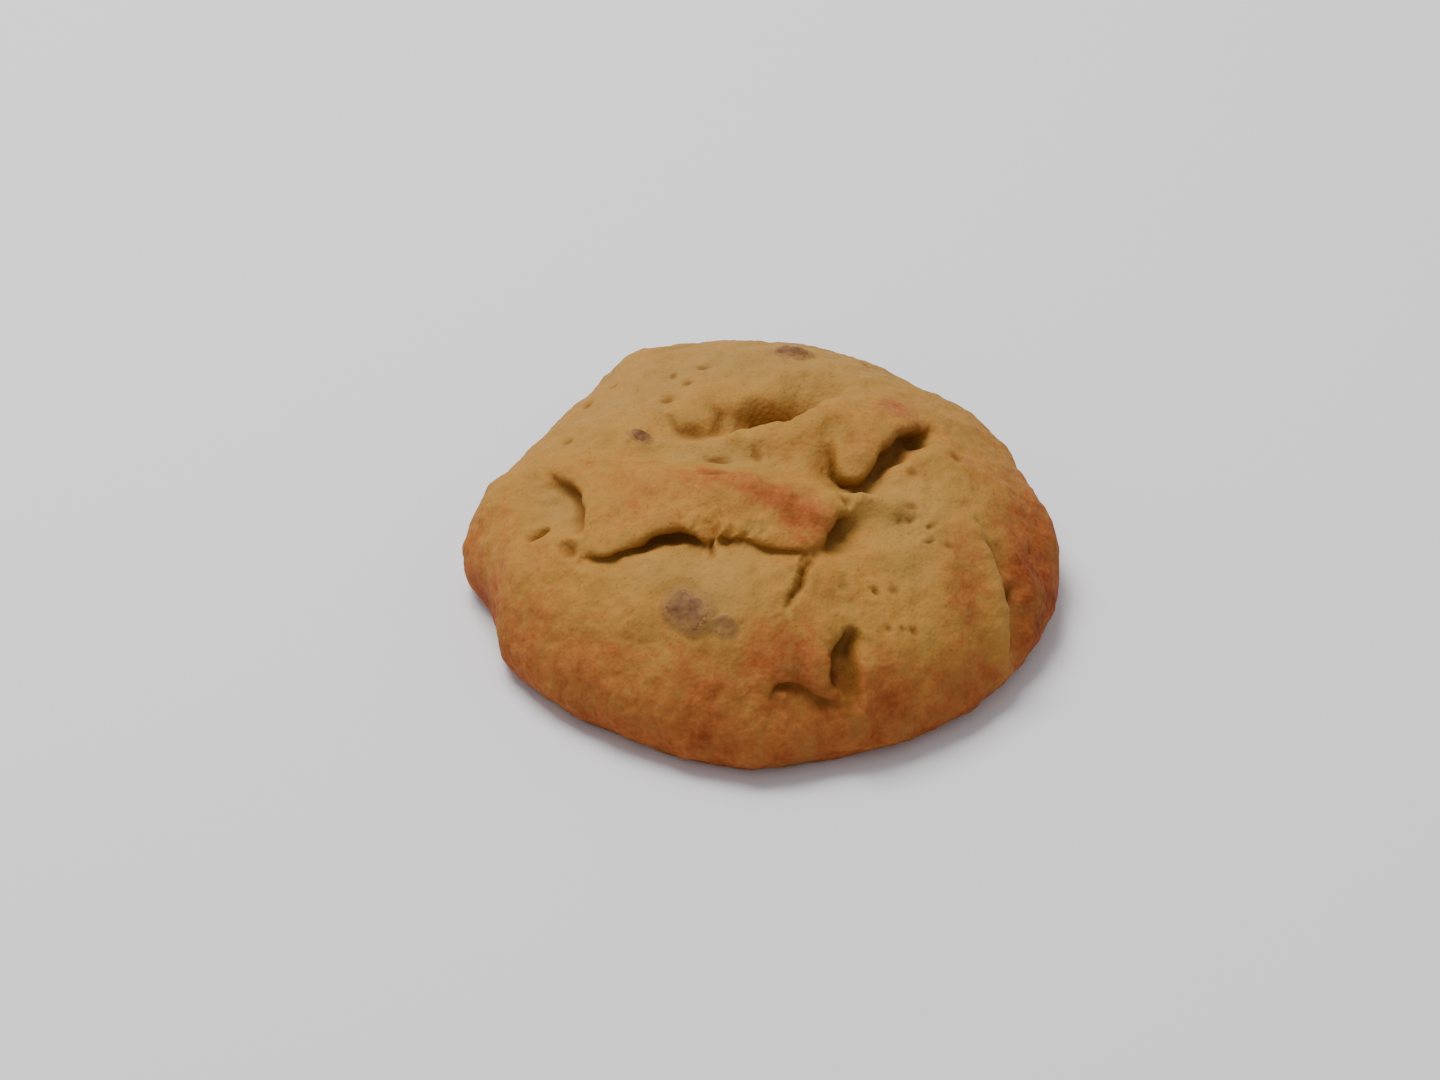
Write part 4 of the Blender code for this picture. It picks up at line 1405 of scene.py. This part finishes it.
@dataclass(frozen=True)
class CrustFinish:
    """Baked crust: pale in the hollows, golden on top, brown on the ridges and down the rim.

    Creases, cracks and pores get painted shade along with their browning, and a few patches of the
    toast paint shade and light.
    """

    pale: Colour = srgb(176, 130, 64)
    golden: Colour = srgb(172, 121, 55)
    amber: Colour = srgb(163, 95, 46)
    brown: Colour = srgb(140, 68, 34)
    dark: Colour = srgb(103, 45, 21)
    stops: tuple[float, ...] = (0.0, 0.3, 0.56, 0.8, 1.0)
    # Colour of the painted shade in creases, cracks and pores, with their browning
    crease_shade: Colour = srgb(114, 72, 27)
    crease_shade_edge: tuple[float, float] = (0.25, 0.9)
    crease_shade_share: float = 0.8
    hollow: Colour = srgb(158, 124, 70)
    hollow_share: float = 0.6
    olive: Colour = srgb(142, 110, 52)
    olive_edge: tuple[float, float] = (0.45, 0.7)
    olive_share: float = 0.4
    stain: Colour = srgb(138, 100, 64)
    stain_edge: tuple[float, float] = (0.4, 1.0)
    stain_share: float = 0.55
    fleck: Colour = srgb(134, 73, 27)
    fleck_share: float = 0.35
    broad: Layer = Layer(85.0, 3.0, 0.55)
    mottle: Layer = Layer(330.0, 3.0, 0.6)
    grain: Layer = Layer(1000.0, 2.0, 0.5)
    tint: Layer = Layer(150.0, 2.0, 0.6)
    swings: tuple[float, float, float] = (0.55, 0.5, 0.35)
    roughness: tuple[float, float] = (0.6, 0.8)
    rough_edge: tuple[float, float] = (0.3, 0.7)
    sheen: float = 0.06
    bump: float = 0.0004
    bump_strength: float = 0.6

    def material(self, crumb: bpy.types.ShaderNodeTree) -> bpy.types.Material:
        """Make the crust's material.

        Args:
            crumb: The shared crumb group.

        Returns:
            The material.
        """
        material, nodes, shader = plain_material("baked_crust")
        where = nodes.add("ShaderNodeTexCoord").outputs["Object"]
        fine = nodes.add("ShaderNodeGroup", node_tree=crumb)
        nodes.join(where, fine.inputs["Vector"])
        mottle = nodes.noise(where, self.mottle)
        grain = nodes.noise(where, self.grain)
        # Toast, with the painted shade and painted light of a few patches
        toast_and_shading = nodes.mask(Mask.TOAST_AND_SHADING)
        for part, amount in zip((nodes.noise(where, self.broad), mottle, grain), self.swings):
            toast_and_shading = nodes.math("ADD", toast_and_shading, nodes.swing(part, amount), clamp=True)
        browning = (self.pale, self.golden, self.amber, self.brown, self.dark)
        colour = nodes.ramp(toast_and_shading, tuple(zip(self.stops, browning)))
        in_hollow = nodes.math("MULTIPLY", nodes.mask(Mask.PALE), self.hollow_share)
        colour = nodes.blend(in_hollow, colour, self.hollow)
        tint = nodes.spread(nodes.noise(where, self.tint), *self.olive_edge, 0.0, self.olive_share)
        colour = nodes.blend(tint, colour, self.olive)
        flecks = nodes.math("MULTIPLY", fine.outputs["Flecks"], self.fleck_share)
        colour = nodes.blend(flecks, colour, self.fleck)
        stained = nodes.math("ADD", nodes.mask(Mask.STAIN), nodes.math("SUBTRACT", mottle, 0.5))
        stained = nodes.spread(stained, *self.stain_edge, 0.0, self.stain_share)
        colour = nodes.blend(stained, colour, self.stain)
        # Painted shade in the creases, cracks and pores
        shade_in_creases = nodes.spread(nodes.mask(Mask.CREASE_SHADE), *self.crease_shade_edge, 0.0, self.crease_shade_share)
        colour = nodes.blend(shade_in_creases, colour, self.crease_shade)
        nodes.join(colour, shader.inputs["Base Color"])
        nodes.join(nodes.spread(grain, *self.rough_edge, *self.roughness), shader.inputs["Roughness"])
        shader.inputs["Specular IOR Level"].default_value = self.sheen
        nodes.relief(shader, fine.outputs["Height"], self.bump_strength, self.bump)
        return material


@dataclass(frozen=True)
class ChocolateFinish:
    """Melted and set chocolate, dull, browned by the dough that clings to it."""

    dark: Colour = srgb(106, 69, 40)
    light: Colour = srgb(135, 99, 64)
    light_edge: tuple[float, float] = (0.35, 0.7)
    dough: Colour = srgb(159, 116, 60)
    dough_edge: tuple[float, float] = (0.05, 0.95)
    mottle: Layer = Layer(420.0, 3.0, 0.6)
    film_swing: float = 0.7
    crumb_size: float = 0.7
    roughness: float = 0.55
    sheen: float = 0.1
    bump: float = 0.00015
    bump_strength: float = 0.4

    def material(self, crumb: bpy.types.ShaderNodeTree) -> bpy.types.Material:
        """Make the chocolate's material.

        Args:
            crumb: The shared crumb group.

        Returns:
            The material.
        """
        material, nodes, shader = plain_material("chocolate")
        where = nodes.add("ShaderNodeTexCoord").outputs["Object"]
        fine = nodes.add("ShaderNodeGroup", node_tree=crumb)
        nodes.join(where, fine.inputs["Vector"])
        fine.inputs["Size"].default_value = self.crumb_size
        mottle = nodes.noise(where, self.mottle)
        colour = nodes.blend(nodes.spread(mottle, *self.light_edge), self.dark, self.light)
        film = nodes.math("ADD", nodes.mask(Mask.FILM), nodes.swing(mottle, self.film_swing))
        colour = nodes.blend(nodes.spread(film, *self.dough_edge), colour, self.dough)
        nodes.join(colour, shader.inputs["Base Color"])
        shader.inputs["Roughness"].default_value = self.roughness
        shader.inputs["Specular IOR Level"].default_value = self.sheen
        nodes.relief(shader, fine.outputs["Height"], self.bump_strength, self.bump)
        return material


@dataclass(frozen=True)
class FloorFinish:
    """Plain pale studio floor."""

    colour: Colour = srgb(238, 236, 237)
    roughness: float = 0.8

    def material(self) -> bpy.types.Material:
        """Make the floor's material.

        Returns:
            The material.
        """
        material, _, shader = plain_material("studio_floor")
        shader.inputs["Base Color"].default_value = (*self.colour, 1.0)
        shader.inputs["Roughness"].default_value = self.roughness
        return material


@dataclass
class Chips:
    """The chocolate that shows: thin lumps that follow the crust. Lengths are in millimetres."""

    crust: Crust
    bulge: float = 0.3
    dip: float = 0.14
    thick: float = 1.2
    uneven: float = 0.16
    uneven_scale: float = 1.7
    edge_film: float = 0.6
    edge_film_power: int = 4
    rings: int = 12
    spokes: int = 48

    def build(self) -> bpy.types.Object:
        """Make all the chips as one mesh, with the film of dough on each.

        Returns:
            The object, linked to the scene.
        """
        work = bmesh.new()
        film = work.verts.layers.float.new(Mask.FILM.value)
        for chip, hidden in zip(CHIPS, FILMS):
            self.add_chip(work, film, chip, hidden)
        bmesh.ops.recalc_face_normals(work, faces=work.faces[:])
        mesh = bpy.data.meshes.new("chocolate_chips")
        work.to_mesh(mesh)
        work.free()
        return placed("chocolate_chips", mesh)

    def layer(self, chip: ChipPlace) -> tuple[Places, Array]:
        """Round layer of places that covers a chip.

        Args:
            chip: Its place and size on the map.

        Returns:
            The places, and the share of the way from the middle to the edge of each.
        """
        bearings = np.arange(self.spokes) * math.tau / self.spokes
        circle = np.stack((np.cos(bearings), np.sin(bearings)), axis=-1)
        seed = Vector((chip.u, chip.v, 0.0))
        swing = [noise.noise(Vector((*spot, 0.0)) * self.uneven_scale + seed) for spot in circle]
        uneven = np.array([1.0 + self.uneven * value for value in swing])
        shares = np.arange(1, self.rings + 1) / self.rings
        along = np.outer(shares, chip.long * uneven * circle[:, 0]).ravel()
        across = np.outer(shares, chip.wide * uneven * circle[:, 1]).ravel()
        turn = math.radians(chip.turn)
        u = chip.u + np.append(0.0, along * math.cos(turn) - across * math.sin(turn))
        v = chip.v + np.append(0.0, along * math.sin(turn) + across * math.cos(turn))
        return self.crust.dough.settled(Places(u, v)), np.append(0.0, np.repeat(shares, self.spokes))

    def add_chip(
        self, work: bmesh.types.BMesh, film: bmesh.types.BMLayerItem, chip: ChipPlace, hidden: float
    ) -> None:
        """Add one closed lump.

        Args:
            work: Mesh to add to.
            film: Its layer for the film of dough.
            chip: The chip's place and size on the map.
            hidden: Share of it that the film hides.
        """
        at, share = self.layer(chip)
        crust, _ = self.crust.surface(at)
        up = self.crust.body.normal(at)
        top = crust + up * (self.bulge * (1.0 - share**2) - self.dip)[:, None]
        under = crust - up * (self.thick * np.sqrt(np.maximum(1.0 - share**2, 0.0)) + self.dip)[:, None]
        moved = np.array((*self.crust.moved, 0.0))
        sides = []
        for side, rings in ((top, self.rings), (under, self.rings - 1)):
            verts = [work.verts.new(point * MM - moved) for point in side[:1 + self.spokes * rings]]
            for vert, part in zip(verts, share):
                vert[film] = min(1.0, hidden + self.edge_film * float(part) ** self.edge_film_power)
            sides.append(verts)
        sides[1].extend(sides[0][-self.spokes:])
        for verts in sides:
            self.add_faces(work, verts)

    def add_faces(self, work: bmesh.types.BMesh, verts: list[bmesh.types.BMVert]) -> None:
        """Join the rings of one side with smooth faces.

        Args:
            work: Mesh to add to.
            verts: The middle, then the rings outwards.
        """
        for spot in range(self.spokes):
            after = (spot + 1) % self.spokes
            work.faces.new((verts[0], verts[1 + spot], verts[1 + after])).smooth = True
            for ring in range(self.rings - 1):
                inner = 1 + ring * self.spokes
                outer = inner + self.spokes
                corners = (inner + spot, outer + spot, outer + after, inner + after)
                work.faces.new([verts[corner] for corner in corners]).smooth = True


@dataclass
class Cookie:
    """The whole cookie: the crust and the chips in it."""

    crust: Crust = field(default_factory=Crust)
    crust_finish: CrustFinish = field(default_factory=CrustFinish)
    chocolate_finish: ChocolateFinish = field(default_factory=ChocolateFinish)

    def build(self) -> None:
        """Build and dress the pieces, hang them on the root body, and hide the solid that they stand for.
        """
        crumb = CrumbGroup().build()
        crust = self.crust.build()
        crust.data.materials.append(self.crust_finish.material(crumb))
        chips = Chips(self.crust).build()
        chips.data.materials.append(self.chocolate_finish.material(crumb))
        for piece, slot in ((crust, "crust"), (chips, "chocolate")):
            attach(piece, "root")
            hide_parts("cookie")
            LOG.info("%s: %d faces", piece.name, len(piece.data.polygons))


@dataclass(frozen=True)
class Studio:
    """Plain pale floor, soft light from above, and the camera. Lengths are in metres."""

    floor_size: float = 4.0
    key_size: float = 0.55
    key_power: float = 12.0
    key_place: tuple[float, float, float] = (-0.28, 0.32, 0.95)
    sky: Colour = (0.93, 0.95, 1.0)
    sky_strength: float = 0.52
    elevation: float = 40.0
    distance: float = 1.025
    lens: float = 140.2
    sensor_width: float = 36.0
    right_of_middle: float = 0.00744
    below_middle: float = 0.00859

    def build(self) -> None:
        """Make the floor, the light and the camera."""
        self.floor()
        self.light()
        self.camera()

    def floor(self) -> None:
        """Lay the floor under the cookie."""
        half = self.floor_size / 2
        mesh = bpy.data.meshes.new("studio_floor")
        corners = ((-half, -half, 0.0), (half, -half, 0.0), (half, half, 0.0), (-half, half, 0.0))
        mesh.from_pydata(corners, [], [(0, 1, 2, 3)])
        mesh.materials.append(FloorFinish().material())
        placed("studio_floor", mesh)

    def light(self) -> None:
        """Hang one large soft lamp and light the surroundings evenly."""
        lamp = bpy.data.lights.new("key", "AREA")
        lamp.size = self.key_size
        lamp.energy = self.key_power
        key = placed("key", lamp)
        key.location = self.key_place
        key.rotation_euler = (-Vector(self.key_place)).to_track_quat("-Z", "Y").to_euler()
        world = bpy.data.worlds.new("studio")
        world.use_nodes = True
        sky = world.node_tree.nodes["Background"]
        sky.inputs["Color"].default_value = (*self.sky, 1.0)
        sky.inputs["Strength"].default_value = self.sky_strength
        bpy.context.scene.world = world

    def camera(self) -> None:
        """Set the camera in front of the cookie, looking down at it."""
        tilt = math.radians(self.elevation)
        back = Vector((0.0, -math.cos(tilt), math.sin(tilt)))
        right = Vector((1.0, 0.0, 0.0))
        up = back.cross(right)
        eye = up * self.below_middle - right * self.right_of_middle + back * self.distance
        lens = bpy.data.cameras.new("camera")
        lens.lens = self.lens
        lens.sensor_width = self.sensor_width
        camera = placed("camera", lens)
        turned = Matrix((right, up, back)).transposed().to_4x4()
        camera.matrix_world = Matrix.Translation(eye) @ turned
        bpy.context.scene.camera = camera


def main() -> None:
    """Load the frame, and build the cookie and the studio."""
    logging.basicConfig(level=logging.INFO, format="%(name)s: %(message)s")
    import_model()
    Cookie().build()
    Studio().build()


if __name__ == "__main__":
    main()
